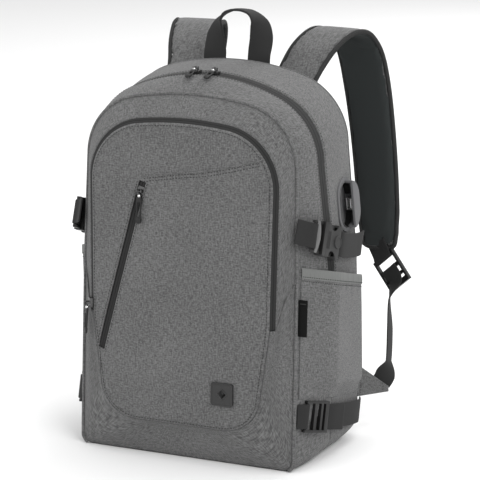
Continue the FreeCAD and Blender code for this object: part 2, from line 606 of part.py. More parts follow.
def sliders():
    """Four sliders with their pullers."""
    pieces = {}
    for name, (seat, pull, normal, turn, length, droop) in slider_seats().items():
        pieces[name + "_slider"] = place(slider(turn), seat, pull, normal)
        pieces[name + "_puller"] = place(puller(length, droop), seat, pull, normal)
    return pieces


# ---- Webbing hardware --------------------------------------------------------------------------------


def outward(run):
    """Normal to a side strap that faces away from the bag."""
    run = Vector(run).normalize()
    side = Vector(1, 0, 0)
    return (side - run * side.dot(run)).normalize()


def sewn_loop(sew, bar, run):
    """Webbing from where it is sewn to a loop round a bar."""
    normal = outward(run)
    axis = normal.cross(run).normalize()
    reach = bar - sew
    stop = sew + reach * (1 - (LOOP_R - WEB_T) / reach.Length)
    web = ribbon([sew, stop], WEB_W, WEB_T, axis)
    web = web.fuse(rod(LOOP_R, bar, WEB_W / 2, axis)).cut(rod(BAR_R + BAR_PLAY, bar, WEB_W, axis))
    return web.removeSplitter()


def rails(x0, x1, half_t):
    """Two side rails of a webbing frame."""
    inside = WEB_W / 2 + RAIL_PLAY
    return [box(x0, x1, *sorted((side * inside, side * (inside + RAIL_W))), -half_t, half_t) for side in (-1, 1)]


def cross_bar(x0, x1, half_t):
    """Flat bar that runs into both rails."""
    reach = WEB_W / 2 + RAIL_PLAY + BAR_BITE
    return box(x0, x1, -reach, reach, -half_t, half_t)


def sewn_bar(x):
    """Round bar that a sewn loop turns on."""
    return rod(BAR_R, Vector(x, 0, 0), WEB_W / 2 + RAIL_PLAY + BAR_BITE, Vector(0, 1, 0))


def joined(first, others):
    """One solid from several."""
    return first.multiFuse(others).removeSplitter()


def ladder_lock():
    """Ladder lock on local X from its sewn bar, 0, to its free end, across Y, thickness Z."""
    half_t = LOCK_T / 2
    bars = [cross_bar(x0, x1, half_t * share) for x0, x1, share in LOCK_BARS]
    return joined(sewn_bar(0), rails(-half_t, LOCK_L - half_t, half_t) + bars)


def buckle_plug():
    """Plug half: webbing frame, body, guide tongue and the two prong pins."""
    half_w, half_t = BUCKLE_W / 2, BUCKLE_T / 2
    slim = half_t - BUCKLE_WALL - PLUG_GAP
    root_x, root_y = PRONG_ROOT
    pieces = rails(-FRAME_HALF_T, PLUG_BODY_X + 1, FRAME_HALF_T)
    pieces.append(cross_bar(7, 11, FRAME_HALF_T - 0.3))
    pieces.append(box(PLUG_BODY_X, PLUG_FACE - PLUG_GAP, -half_w, half_w, -half_t, half_t))
    pieces.append(box(PLUG_FACE - 1, TONGUE_END_X, -TONGUE_HALF_W, TONGUE_HALF_W, -2.0, 2.0))
    for side in (-1, 1):
        y = side * root_y
        for low, high in ((-slim, PRONG_T - slim), (slim - PRONG_T, slim)):
            pieces.append(box(PLUG_FACE - 1, root_x + 3, y - 3, y + 3, low, high))
        pieces.append(rod(PRONG_PIN_R, Vector(root_x, y, 0), slim, UP))
    return joined(sewn_bar(0), pieces)


def buckle_prong(side):
    """One latch arm; side is +1 for the upper and -1 for the lower."""
    root = Vector(PRONG_ROOT[0], side * PRONG_ROOT[1], 0)
    half = BUCKLE_T / 2 - BUCKLE_WALL - PRONG_T - 2 * PLUG_GAP
    y0, y1 = sorted(side * y for y in ARM_Y)
    arm = rod(PRONG_EYE_R, root, half, UP)
    arm = joined(arm, [box(root.x, ARM_END_X, y0, y1, -half, half),
                       rod(LATCH_R, Vector(LATCH_X, side * LATCH_Y, 0), half, UP)])
    return arm.cut(rod(PRONG_PIN_R + PRONG_PLAY, root, half + 1, UP)).removeSplitter()


def buckle_socket():
    """Socket half with side notches, a webbing bar at its tail and a round boss."""
    half_w, half_t = BUCKLE_W / 2, BUCKLE_T / 2
    end = PLUG_FACE + SOCKET_L
    body_end = end - SOCKET_FRAME_L
    shell = box(PLUG_FACE, body_end, -half_w, half_w, -half_t, half_t)
    hollow = box(PLUG_FACE - 1, body_end - 3, SOCKET_SIDE - half_w, half_w - SOCKET_SIDE, BUCKLE_WALL - half_t,
                 half_t - BUCKLE_WALL)
    shell = shell.cut(hollow)
    for side in (-1, 1):
        shell = shell.cut(rod(NOTCH_R, Vector(LATCH_X, side * (half_w + 0.5), 0), BUCKLE_T, UP))
    boss = Part.makeCylinder(BOSS_R, BOSS_H, Vector(body_end - 2.5 - BOSS_R / 2, 0, half_t), UP)
    return joined(shell, rails(body_end - 1, end, FRAME_HALF_T) + [sewn_bar(end - 1), boss])


def upper_strap():
    """Right-hand compression strap with its side-release buckle."""
    run = BUCKLE_RUN
    normal = outward(run)
    tail = BUCKLE_START + run * (PLUG_FACE + SOCKET_L - 1)
    axis = normal.cross(run)
    rear = [tail + run * (LOOP_R - 0.8)] + list(UPPER_STRAP_REAR)
    web = ribbon(rear, WEB_W, WEB_T, axis).fuse(rod(LOOP_R, tail, WEB_W / 2, axis))
    web = web.cut(rod(BAR_R + BAR_PLAY, tail, WEB_W, axis)).removeSplitter()
    return {"upper_strap_front": sewn_loop(UPPER_STRAP_SEW, BUCKLE_START, run),
            "buckle_plug": place(buckle_plug(), BUCKLE_START, run, normal),
            "buckle_prong_upper": place(buckle_prong(1), BUCKLE_START, run, normal),
            "buckle_prong_lower": place(buckle_prong(-1), BUCKLE_START, run, normal),
            "buckle_socket": place(buckle_socket(), BUCKLE_START, run, normal), "upper_strap_rear": web}


def lower_strap():
    """Right-hand lower strap with its ladder lock."""
    run = LOWER_RUN
    normal = outward(run)
    drop = normal * (LOCK_T / 2 + LOCK_GAP + WEB_T / 2)
    under = [LOWER_BAR + run * reach - drop for reach in (LOCK_L / 2, LOCK_L + LOCK_GAP)]
    web = ribbon(under + list(LOWER_STRAP_REAR), WEB_W, WEB_T, normal.cross(run))
    return {"lower_strap_front": sewn_loop(LOWER_STRAP_SEW, LOWER_BAR, run),
            "lower_ladder_lock": place(ladder_lock(), LOWER_BAR, run, normal), "lower_strap_rear": web}


# ---- Shoulder straps, handle and port ----------------------------------------------------------------


def shoulder_strap():
    """Right-hand padded strap, its adjuster, lower webbing and the tab it ends in."""
    heights = [BAG_HEIGHT - drop for drop in PAD_ROOT_DROP]
    root = [Vector(PAD_ROOT_X, BACK_SEAM.y_at(z) + PAD_GAP + PAD_T / 2, z) for z in heights]
    points = root + [YOKE + point for point, _ in PAD_ROUTE]
    widths = [PAD_ROOT_W] * len(root) + [width for _, width in PAD_ROUTE]
    wide = [Vector(1, 0, 0)] * len(root) + [PAD_ACROSS] * len(PAD_ROUTE)
    pad = ribbon(points, widths, PAD_T, wide)
    run = ADJUSTER_RUN
    outer = Vector(0.35, 1, 0)
    normal = (outer - run * outer.dot(run)).normalize()
    axis = normal.cross(run)
    joint = ribbon([points[-1], ADJUSTER_BAR - run * 2.2], WEB_W, WEB_T, axis)
    joint = joint.fuse(rod(LOOP_R, ADJUSTER_BAR, WEB_W / 2, axis)).cut(rod(BAR_R + BAR_PLAY, ADJUSTER_BAR, WEB_W, axis))
    pad = pad.fuse(joint).removeSplitter()
    drop = normal * (LOCK_T / 2 + LOCK_GAP + WEB_T / 2)
    under = [ADJUSTER_BAR + run * (LOCK_L * 0.4) - drop, ADJUSTER_BAR + run * (LOCK_L * 0.75) - drop - normal * WEBBING_DIP]
    across = [axis, axis] + [axis * (1 - share) + TAB_ACROSS * share for share in WEBBING_TWIST]
    way = [ADJUSTER_BAR + (TAB_TIP - ADJUSTER_BAR) * share + bend for share, bend in WEBBING_WAY]
    web = ribbon(under + way, WEB_W - WEBBING_NARROWER, WEB_T, across)
    root_x = BACK_SEAM.foot_half - TAB_ROOT_IN
    top = Vector(root_x, BACK_SEAM.y_at(TAB_ROOT_TOP_Z) + TAB_CLEAR, TAB_ROOT_TOP_Z)
    foot = Vector(root_x, BACK_SEAM.y_at(TAB_ROOT_FOOT_Z) + TAB_CLEAR, TAB_ROOT_FOOT_Z)
    thick = (TAB_TIP - top).cross(foot - top).normalize() * TAB_T
    tip_low = TAB_TIP + (foot - top) * TAB_TIP_SHARE
    tab = Part.Face(Part.makePolygon([top, TAB_TIP, tip_low, foot, top])).extrude(thick)
    return {"shoulder_pad": pad, "strap_adjuster": place(ladder_lock(), ADJUSTER_BAR, run, normal),
            "strap_webbing": web, "strap_tab": tab}


def grab_handle():
    """Webbing loop whose feet are sewn flat to the back and whose top is turned edge on."""
    sew_z = BAG_HEIGHT - HANDLE_SEW_DROP
    y0 = BACK_SEAM.y_at(sew_z) + HANDLE_GAP + HANDLE_T / 2
    left = [(Vector(-x, y0 + set_back, sew_z + rise), Vector(wide[0], -wide[1], -wide[2]))
            for x, rise, set_back, wide in HANDLE_ROUTE]
    right = [(Vector(-point.x, point.y, point.z), Vector(-wide.x, wide.y, wide.z)) for point, wide in left[::-1]]
    route = left + right
    return ribbon([point for point, _ in route], HANDLE_W, HANDLE_T, [wide for _, wide in route])


def charging_port():
    """Oval bezel with a hood over a USB socket that faces forward."""
    inner_w, inner_h = PORT_W - 2 * PORT_RIM, PORT_H - 2 * PORT_RIM
    ring = stadium(PORT_W, PORT_H, 0, PORT_T).cut(stadium(inner_w, inner_h, -1, PORT_T + 1))
    tray = stadium(inner_w + 2 * TRAY_WALL, inner_h + 2 * TRAY_WALL, -TRAY_D, BAR_BITE)
    tray = tray.cut(stadium(inner_w, inner_h, TRAY_T - TRAY_D, PORT_T + 1))
    hood_w, hood_h = PORT_W - 3, PORT_H - 2 * HOOD_IN
    hood = stadium(hood_w, hood_h, PORT_T - BAR_BITE, HOOD_H)
    hood = hood.cut(stadium(hood_w - 2 * HOOD_T, hood_h - 2 * HOOD_T, PORT_T - 1, HOOD_H - HOOD_T))
    hood = hood.cut(box(-PORT_W, 2, -PORT_H, PORT_H, -1, HOOD_H + 1))
    end_x, top = USB_X + USB_L, USB_LIFT + USB_H
    half = USB_W / 2
    shell = box(USB_X, end_x, -half, half, USB_LIFT, top)
    shell = shell.cut(box(USB_X - 1, end_x - USB_WALL, USB_WALL - half, half - USB_WALL, USB_LIFT + USB_WALL,
                          top - USB_WALL))
    post = box(end_x - POST_L, end_x, -4, 4, TRAY_T - TRAY_D - 0.2, USB_LIFT)
    low, high = TONGUE_Z
    tongue = box(USB_X + 2.5, end_x - USB_WALL, TONGUE_IN - half, half - TONGUE_IN, USB_LIFT + low, USB_LIFT + high)
    parts = {"usb_bezel": joined(ring, [tray, hood, post]), "usb_socket": shell, "usb_tongue": tongue}
    centre = port_centre()
    return {name: place(shape, centre, Vector(0, 1, 0), PORT_NORMAL) for name, shape in parts.items()}


def build():
    """All sub-parts by node name."""
    nodes = {}
    nodes.update(body_panels())
    nodes.update(front_pocket())
    nodes.update(back_pads())
    nodes["side_label"] = side_label()
    nodes.update(sliders())
    nodes["grab_handle"] = grab_handle()
    nodes.update(charging_port())
    pocket, hem = side_pocket()
    sided = {"side_pocket": pocket, "pocket_hem": hem}
    sided.update(upper_strap())
    sided.update(lower_strap())
    sided.update(shoulder_strap())
    for name, shape in sided.items():
        nodes[name + "_right"] = shape
        nodes[name + "_left"] = mirrored(shape)
    return nodes


os.makedirs("parts", exist_ok=True)
for node, solid in build().items():
    solid.exportStep("parts/" + node + ".step")
    print(node, solid.isValid(), len(solid.Solids), round(solid.Volume / 1000, 2), "cm3")
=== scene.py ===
"""Grey heather laptop backpack with an outside charging port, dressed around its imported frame."""
import json
import logging
import math
from dataclasses import dataclass
from enum import Enum
from typing import Callable, Iterable, Sequence

import bmesh
import bpy
from bmesh.types import BMesh
from bpy.types import Material, Node, NodeSocket, Object
from mathutils import Matrix, Quaternion, Vector


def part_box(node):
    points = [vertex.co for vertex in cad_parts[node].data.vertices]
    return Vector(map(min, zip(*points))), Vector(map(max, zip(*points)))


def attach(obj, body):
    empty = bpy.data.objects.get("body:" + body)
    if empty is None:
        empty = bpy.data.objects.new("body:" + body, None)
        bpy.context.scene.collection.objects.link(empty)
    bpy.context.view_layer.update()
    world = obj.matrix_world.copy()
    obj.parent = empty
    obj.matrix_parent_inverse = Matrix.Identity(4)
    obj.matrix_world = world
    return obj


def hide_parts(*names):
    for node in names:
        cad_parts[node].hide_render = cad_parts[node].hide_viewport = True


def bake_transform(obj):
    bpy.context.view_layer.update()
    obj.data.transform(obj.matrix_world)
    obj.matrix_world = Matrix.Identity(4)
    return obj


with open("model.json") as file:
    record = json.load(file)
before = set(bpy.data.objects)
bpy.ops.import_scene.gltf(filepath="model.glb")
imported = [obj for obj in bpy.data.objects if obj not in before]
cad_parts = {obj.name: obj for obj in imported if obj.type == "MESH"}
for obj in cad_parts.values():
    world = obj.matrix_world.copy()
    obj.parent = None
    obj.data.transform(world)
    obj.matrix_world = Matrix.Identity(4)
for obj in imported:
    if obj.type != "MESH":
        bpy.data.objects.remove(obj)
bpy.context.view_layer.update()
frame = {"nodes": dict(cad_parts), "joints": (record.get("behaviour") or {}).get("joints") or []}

LOG = logging.getLogger("backpack")
MM = 0.001                      # pieces are modelled in millimetres and brought to metres when finished
BAG_CENTRE = Vector((0.0, 0.0, 220.0))
SIDES = {"right": 1, "left": -1}
ROUTE_STEPS = 12                # steps between two given points of a smooth line
ROUND_EDGES = {"profile": 0.5, "affect": "EDGES", "material": -1}     # for bmesh.ops.bevel
HALVINGS = 40                   # steps of the search for a height on a seam
Place = Callable[[float, float], Vector]
Profile = Sequence[tuple[float, float]]


# ---- Finishes ------------------------------------------------------------------------------------


class Graph:
    """Node graph of one material, ending in a Principled shader."""

    def __init__(self, name: str) -> None:
        """Start an empty graph.

        Args:
            name: the material's name.
        """
        self.material = bpy.data.materials.new(name)
        self.material.use_nodes = True
        self.tree = self.material.node_tree
        self.shader = self.tree.nodes["Principled BSDF"]

    def add(self, kind: str, inputs: dict | None = None, **settings: object) -> Node:
        """Add a node.

        Args:
            kind: the node type after "ShaderNode".
            inputs: values or sockets by input name or index.
            **settings: the node's own properties.

        Returns:
            The node.
        """
        node = self.tree.nodes.new("ShaderNode" + kind)
        for key, value in settings.items():
            setattr(node, key, value)
        for key, value in (inputs or {}).items():
            self.feed(node.inputs[key], value)
        return node

    def feed(self, socket: NodeSocket, value: object) -> None:
        """Link an input to a socket, or set its constant.

        Args:
            socket: the input.
            value: a socket, or the constant.
        """
        if isinstance(value, NodeSocket):
            self.tree.links.new(value, socket)
        else:
            socket.default_value = value

    def math(self, operation: str, first: object, second: object = 0.0) -> NodeSocket:
        """Result of a two-input sum."""
        return self.add("Math", {0: first, 1: second}, operation=operation).outputs[0]

    def cloth(self, scale: Sequence[float]) -> NodeSocket:
        """Millimetres along and across the piece's own cloth, stretched by scale."""
        flat = self.add("Attribute", attribute_name="cloth").outputs["Vector"]
        return self.add("Mapping", {"Vector": flat, "Scale": scale}).outputs[0]

    def place(self, scale: Sequence[float]) -> NodeSocket:
        """Object coordinates stretched by scale."""
        where = self.add("TexCoord").outputs["Object"]
        return self.add("Mapping", {"Vector": where, "Scale": scale}).outputs[0]

    def noise(self, vector: NodeSocket, scale: float = 1.0, detail: float = 2.0) -> NodeSocket:
        """Noise from 0 to 1."""
        return self.add("TexNoise", {"Vector": vector, "Scale": scale, "Detail": detail}).outputs[0]

    def bands(self, vector: NodeSocket, period: float, direction: str = "X") -> NodeSocket:
        """Even bands across an axis, one in each period."""
        scale = 2 * math.pi / (20 * period)
        return self.add("TexWave", {"Vector": vector, "Scale": scale}, bands_direction=direction).outputs[1]

    def ramp(self, value: NodeSocket, low: float, high: float) -> NodeSocket:
        """A value stretched to run from 0 at low to 1 at high."""
        return self.add("MapRange", {0: value, 1: low, 2: high}).outputs[0]

    def tint(self, share: NodeSocket, dark: Sequence[float], light: Sequence[float]) -> NodeSocket:
        """Colour from dark to light by a share."""
        mix = self.add("Mix", {0: share, 6: (*dark, 1.0), 7: (*light, 1.0)}, data_type="RGBA")
        return mix.outputs[2]

    def bump(self, height: NodeSocket, distance: float, strength: float = 1.0) -> None:
        """Set the shader's relief, distance in millimetres."""
        node = self.add("Bump", {"Height": height, "Distance": distance * MM, "Strength": strength})
        self.feed(self.shader.inputs["Normal"], node.outputs[0])

    def set(self, **values: object) -> None:
        """Set shader inputs, with underscores for the spaces in their names."""
        for key, value in values.items():
            self.feed(self.shader.inputs[key.replace("_", " ")], value)


def grey(value: float) -> tuple[float, float, float]:
    """Linear grey."""
    return value, value, value


@dataclass(frozen=True)
class Heather:
    """Two-tone melange cloth with a fine plain weave."""

    name: str
    tone: float
    contrast: float = 0.5
    thread: float = 0.7          # width of one thread, mm

    def build(self) -> Material:
        """The cloth's material.

        Returns:
            The material.
        """
        graph = Graph(self.name)
        warp = graph.noise(graph.cloth((1.15, 0.16, 1.0)), detail=3.0)
        weft = graph.noise(graph.cloth((0.14, 1.05, 1.0)), detail=3.0)
        slub = graph.noise(graph.cloth((0.5, 0.42, 1.0)), detail=4.0)
        drift = graph.noise(graph.cloth((0.012, 0.012, 1.0)), detail=2.0)
        threads = graph.math("MULTIPLY", graph.math("ADD", warp, weft), 0.3)
        clouds = graph.math("ADD", graph.math("MULTIPLY", slub, 0.32), graph.math("MULTIPLY", drift, 0.08))
        mixed = graph.math("ADD", threads, clouds)
        share = graph.ramp(mixed, 0.42, 0.58)
        graph.set(Base_Color=graph.tint(share, grey(self.tone * (1 - self.contrast)),
                                        grey(self.tone * (1 + self.contrast))))
        flat = graph.cloth((1.0, 1.0, 1.0))
        over = graph.bands(flat, self.thread, "X")
        under = graph.bands(flat, self.thread, "Y")
        weave = graph.math("ADD", graph.math("MULTIPLY", over, under), graph.math("MULTIPLY", mixed, 1.2))
        graph.bump(weave, 0.28, 0.8)
        graph.set(Roughness=graph.ramp(mixed, -1.6, 1.2), Sheen_Weight=0.12, Sheen_Roughness=0.6,
                  Specular_IOR_Level=0.25)
        return graph.material


@dataclass(frozen=True)
class Webbing:
    """Woven black tape with cross ribs, its crowns painted lighter as a highlight and its hollows painted
    darker as shade.
    """

    name: str
    tone: float = 0.007
    rib: float = 1.5             # mm between cross ribs

    def build(self) -> Material:
        """The tape's material.

        Returns:
            The material.
        """
        graph = Graph(self.name)
        flat = graph.cloth((1.0, 1.0, 1.0))
        ribs = graph.bands(flat, self.rib, "X")
        cords = graph.bands(flat, self.rib * 0.8, "Y")
        fuzz = graph.noise(graph.cloth((0.8, 2.0, 1.0)), detail=3.0)
        height = graph.math("ADD", graph.math("MULTIPLY", ribs, cords), graph.math("MULTIPLY", fuzz, 0.4))
        # colour follows the rib height: painted highlight on the crowns, painted shade in the hollows
        share = graph.ramp(height, 0.1, 1.3)
        graph.set(Base_Color=graph.tint(share, grey(self.tone * 0.6), grey(self.tone * 1.9)),
                  Roughness=graph.ramp(fuzz, -1.4, 1.3), Sheen_Weight=0.0, Specular_IOR_Level=0.06)
        graph.bump(height, 0.35)
        return graph.material


@dataclass(frozen=True)
class SpacerMesh:
    """Knitted air mesh with small round holes."""

    name: str
    tone: float = 0.014
    cell: float = 2.6            # mm between holes

    def build(self) -> Material:
        """The mesh's material.

        Returns:
            The material.
        """
        graph = Graph(self.name)
        cells = graph.add("TexVoronoi", {"Vector": graph.cloth((1.0, 1.3, 1.0)), "Scale": 1 / self.cell,
                                         "Randomness": 0.25}).outputs[0]
        rim = graph.ramp(cells, 0.18, 0.42)
        fuzz = graph.noise(graph.cloth((2.0, 2.0, 1.0)), detail=2.0)
        graph.set(Base_Color=graph.tint(graph.math("MULTIPLY", rim, fuzz), grey(self.tone * 0.3),
                                        grey(self.tone * 3.0)),
                  Roughness=graph.ramp(fuzz, -1.5, 1.2), Sheen_Weight=0.15, Specular_IOR_Level=0.3)
        graph.bump(rim, 0.7)
        return graph.material


@dataclass(frozen=True)
class CoatedTape:
    """Satin coated zip tape with fine cross ribs."""

    name: str
    tone: float = 0.009
    rib: float = 1.1

    def build(self) -> Material:
        """The tape's material.

        Returns:
            The material.
        """
        graph = Graph(self.name)
        flat = graph.cloth((1.0, 1.0, 1.0))
        ribs = graph.bands(flat, self.rib, "X")
        fuzz = graph.noise(graph.cloth((0.4, 1.2, 1.0)), detail=3.0)
        height = graph.math("ADD", graph.math("MULTIPLY", ribs, 0.7), fuzz)
        graph.set(Base_Color=graph.tint(fuzz, grey(self.tone * 0.7), grey(self.tone * 1.6)),
                  Roughness=graph.ramp(fuzz, -0.6, 2.0), Specular_IOR_Level=0.14)
        graph.bump(height, 0.18, 0.6)
        return graph.material


@dataclass(frozen=True)
class Moulded:
    """Moulded plastic or rubber with a fine spark texture and faintly rubbed high spots."""

    name: str
    tone: float
    rough: float
    grain: float = 0.8           # texture spots per mm
    relief: float = 0.05

    def build(self) -> Material:
        """The moulding's material.

        Returns:
            The material.
        """
        graph = Graph(self.name)
        where = graph.place((1000.0,) * 3)
        spots = graph.noise(where, self.grain * 2, 3.0)
        cloud = graph.noise(where, 0.06, 3.0)
        graph.set(Base_Color=graph.tint(cloud, grey(self.tone * 0.8), grey(self.tone * 1.25)),
                  Roughness=graph.math("ADD", graph.math("MULTIPLY", cloud, 0.16), self.rough - 0.08),
                  Specular_IOR_Level=0.3)
        graph.bump(spots, self.relief, 0.7)
        return graph.material


@dataclass(frozen=True)
class Plated:
    """Bright or dark plated metal with light scuffs."""

    name: str
    tone: float
    rough: float

    def build(self) -> Material:
        """The metal's material.

        Returns:
            The material.
        """
        graph = Graph(self.name)
        scuff = graph.noise(graph.place((2500.0, 400.0, 900.0)), 1.0, 4.0)
        graph.set(Base_Color=graph.tint(scuff, grey(self.tone * 0.85), grey(self.tone * 1.1)), Metallic=1.0,
                  Roughness=graph.math("ADD", graph.math("MULTIPLY", scuff, 0.2), self.rough - 0.1))
        graph.bump(scuff, 0.01, 0.5)
        return graph.material


class Finish(Enum):
    """Every finish on the bag."""

    FRONT = Heather("front_heather", 0.100)
    SIDE = Heather("side_heather", 0.104)
    STRAP = Heather("strap_heather", 0.088)
    HEM = Heather("elastic_hem", 0.112, contrast=0.14, thread=1.3)
    LINING = Heather("dark_lining", 0.012, contrast=0.3)
    TAPE = CoatedTape("zip_tape")
    WEBBING = Webbing("black_webbing")
    MESH = SpacerMesh("air_mesh")
    BINDING = Webbing("binding_tape", tone=0.04, rib=1.0)
    LABEL = Webbing("label_tape", tone=0.011, rib=0.6)
    THREAD = Webbing("sewing_thread", tone=0.03, rib=0.4)
    PLASTIC = Moulded("black_plastic", 0.008, 0.45)
    LATCH = Moulded("latch_plastic", 0.011, 0.4)
    # light grey paints the highlight on the buckle's domed crescent; the plastic itself is black
    BOW = Moulded("bow_painted_highlight", 0.12, 0.36)
    CORD = Moulded("puller_rubber", 0.011, 0.5)
    BADGE = Moulded("badge_rubber", 0.010, 0.46)
    PORT = Moulded("port_rubber", 0.034, 0.5)
    # near black paints the shade inside the port's opening, darker than the bezel rubber
    PORT_DARK = Moulded("port_recess_shade", 0.010, 0.45)
    TONGUE = Moulded("socket_tongue", 0.75, 0.3, relief=0.01)
    NICKEL = Plated("dark_nickel", 0.10, 0.34)
    BRIGHT = Plated("bright_metal", 0.62, 0.24)

    def material(self) -> Material:
        """This finish's material, made once."""
        made = bpy.data.materials.get(self.value.name)
        return made or self.value.build()


# ---- Mesh making ---------------------------------------------------------------------------------


def bent_grid(along: int, across: int, place: Place, wrap_along: bool = False,
              wrap_across: bool = False) -> BMesh:
    """Grid bent to a surface, with its flat size kept in the "cloth" attribute.

    Args:
        along: faces in the first direction.
        across: faces in the second direction.
        place: the point for two shares from 0 to 1.
        wrap_along: whether the last row meets the first.
        wrap_across: whether the last column meets the first.

    Returns:
        The mesh, in millimetres.
    """
    bm = bmesh.new()
    bmesh.ops.create_grid(bm, x_segments=along, y_segments=across, size=0.5)
    flat = bm.verts.layers.float_vector.new("cloth")
    long = run_length([place(i / along, 0.5) for i in range(along + 1)])
    wide = run_length([place(0.5, i / across) for i in range(across + 1)])
    for vert in bm.verts:
        u, v = min(max(vert.co.x + 0.5, 0.0), 1.0), min(max(vert.co.y + 0.5, 0.0), 1.0)
        vert[flat] = Vector((u * long, v * wide, 0.0))
        vert.co = place(u, v)
    if wrap_along or wrap_across:
        bmesh.ops.remove_doubles(bm, verts=bm.verts, dist=1e-3)
    return bm


def run_length(points: Sequence[Vector]) -> float:
    """Length of a line through points."""
    return sum((b - a).length for a, b in zip(points, points[1:]))


def face_out(bm: BMesh, centre: Vector | None = None) -> None:
    """Turn faces outwards.

    Args:
        bm: the mesh.
        centre: for an open sheet, a point that it faces away from.
    """
    bmesh.ops.recalc_face_normals(bm, faces=bm.faces)
    if centre is None:
        return
    lean = sum(face.normal.dot(face.calc_center_median() - centre) * face.calc_area() for face in bm.faces)
    if lean < 0:
        bmesh.ops.reverse_faces(bm, faces=bm.faces)


def cap_ends(bm: BMesh) -> None:
    """Close a tube's open ends."""
    edges = [edge for edge in bm.edges if edge.is_boundary]
    bmesh.ops.holes_fill(bm, edges=edges, sides=0)


def flip_side(bm: BMesh, side: int) -> None:
    """Mirror a right-hand mesh when it is for the left.

    Args:
        bm: the mesh.
        side: 1 for the right, -1 for the left.
    """
    if side < 0:
        bmesh.ops.scale(bm, vec=(-1.0, 1.0, 1.0), verts=bm.verts)
        bmesh.ops.reverse_faces(bm, faces=bm.faces)


def every_part(bm: BMesh) -> list:
    """Vertices, edges and faces of a mesh."""
    return [*bm.verts, *bm.edges, *bm.faces]


def add_mesh(bm: BMesh, other: BMesh) -> None:
    """Add another mesh's geometry.

    Args:
        bm: the mesh that gets it.
        other: the mesh that is added, which is freed.
    """
    spare = bpy.data.meshes.new("spare")
    other.to_mesh(spare)
    other.free()
    bm.from_mesh(spare)
    bpy.data.meshes.remove(spare)


@dataclass(frozen=True)
class Rounding:
    """Modifiers that finish a piece, sizes in millimetres."""

    thickness: float = 0.0
    offset: float = -1.0
    bevel: float = 0.0
    levels: int = 0


def piece(name: str, bm: BMesh, finish: Finish, body: str, replaces: Iterable[str] = (),
          rounding: Rounding = Rounding(), unit: float = MM) -> Object:
    """Turn a mesh into a finished object that rides on a body.

    Args:
        name: the object's name.
        bm: its mesh, which is freed.
        finish: what it is made of.
        body: the frame body it moves with.
        replaces: frame nodes it stands for.
        rounding: modifiers.
        unit: metres in one unit of the mesh.

    Returns:
        The object.
    """
    bmesh.ops.scale(bm, vec=(unit,) * 3, verts=bm.verts)
    mesh = bpy.data.meshes.new(name)
    bm.to_mesh(mesh)
    bm.free()
    mesh.polygons.foreach_set("use_smooth", [True] * len(mesh.polygons))
    mesh.materials.append(finish.material())
    made = bpy.data.objects.new(name, mesh)
    bpy.context.scene.collection.objects.link(made)
    if rounding.bevel:
        edge = made.modifiers.new("soft_edges", "BEVEL")
        edge.width, edge.segments, edge.limit_method = rounding.bevel * MM, 3, "ANGLE"
        edge.angle_limit = math.radians(28)
        edge.harden_normals = True
    if rounding.thickness:
        wall = made.modifiers.new("cloth_thickness", "SOLIDIFY")
        wall.thickness, wall.offset = rounding.thickness * MM, rounding.offset
    if rounding.levels:
        fine = made.modifiers.new("fine_surface", "SUBSURF")
        fine.levels = fine.render_levels = rounding.levels
    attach(made, body)
    nodes = [node for node in replaces if node]
    if nodes:
        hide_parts(*nodes)
    LOG.info("%s: %d faces", name, len(mesh.polygons))
    return made


def softened(node: str, name: str, finish: Finish, body: str, bevel: float) -> Object:
    """Rounded copy of a hard frame node, which it replaces.

    Args:
        node: the frame node.
        name: the new object's name.
        finish: what it is made of.
        body: the body it moves with.
        bevel: radius of its edges, millimetres.

    Returns:
        The object.
    """
    bm = bmesh.new()
    bm.from_mesh(frame["nodes"][node].data)
    bmesh.ops.remove_doubles(bm, verts=bm.verts, dist=1e-6)
    bmesh.ops.dissolve_limit(bm, angle_limit=math.radians(2), verts=bm.verts, edges=bm.edges)
    return piece(name, bm, finish, body, [node], Rounding(bevel=bevel), unit=1.0)


def smooth_route(points: Sequence[Vector], count: int) -> list[Vector]:
    """Even points on a smooth line.

    Args:
        points: what the line passes through.
        count: steps along it.

    Returns:
        One point more than the steps.
    """
    ends = [points[0] * 2 - points[1], *points, points[-1] * 2 - points[-2]]
    fine = []
    for a, b, c, d in zip(ends, ends[1:], ends[2:], ends[3:]):
        for i in range(ROUTE_STEPS):
            t = i / ROUTE_STEPS
            fine.append(0.5 * (2 * b + (c - a) * t + (2 * a - 5 * b + 4 * c - d) * t * t
                               + (3 * b - a - 3 * c + d) * t ** 3))
    fine.append(points[-1].copy())
    total, gone, k, even = run_length(fine), 0.0, 0, []
    for i in range(count + 1):
        want = total * i / count
        while k < len(fine) - 2 and gone + (fine[k + 1] - fine[k]).length < want:
            gone += (fine[k + 1] - fine[k]).length
            k += 1
        step = (fine[k + 1] - fine[k]).length
        even.append(fine[k].lerp(fine[k + 1], min(1.0, (want - gone) / step if step else 0.0)))
    return even


def spread(values: Sequence, marks: Sequence[float], count: int) -> list:
    """Numbers or vectors drawn out to even samples.

    Args:
        values: the known ones.
        marks: how far along each is known.
        count: steps.

    Returns:
        One sample more than the steps.
    """
    out, k = [], 0
    for i in range(count + 1):
        place = marks[-1] * i / count
        while k < len(marks) - 2 and marks[k + 1] < place:
            k += 1
        share = min(1.0, max(0.0, (place - marks[k]) / ((marks[k + 1] - marks[k]) or 1.0)))
        out.append(values[k] * (1 - share) + values[k + 1] * share)
    return out


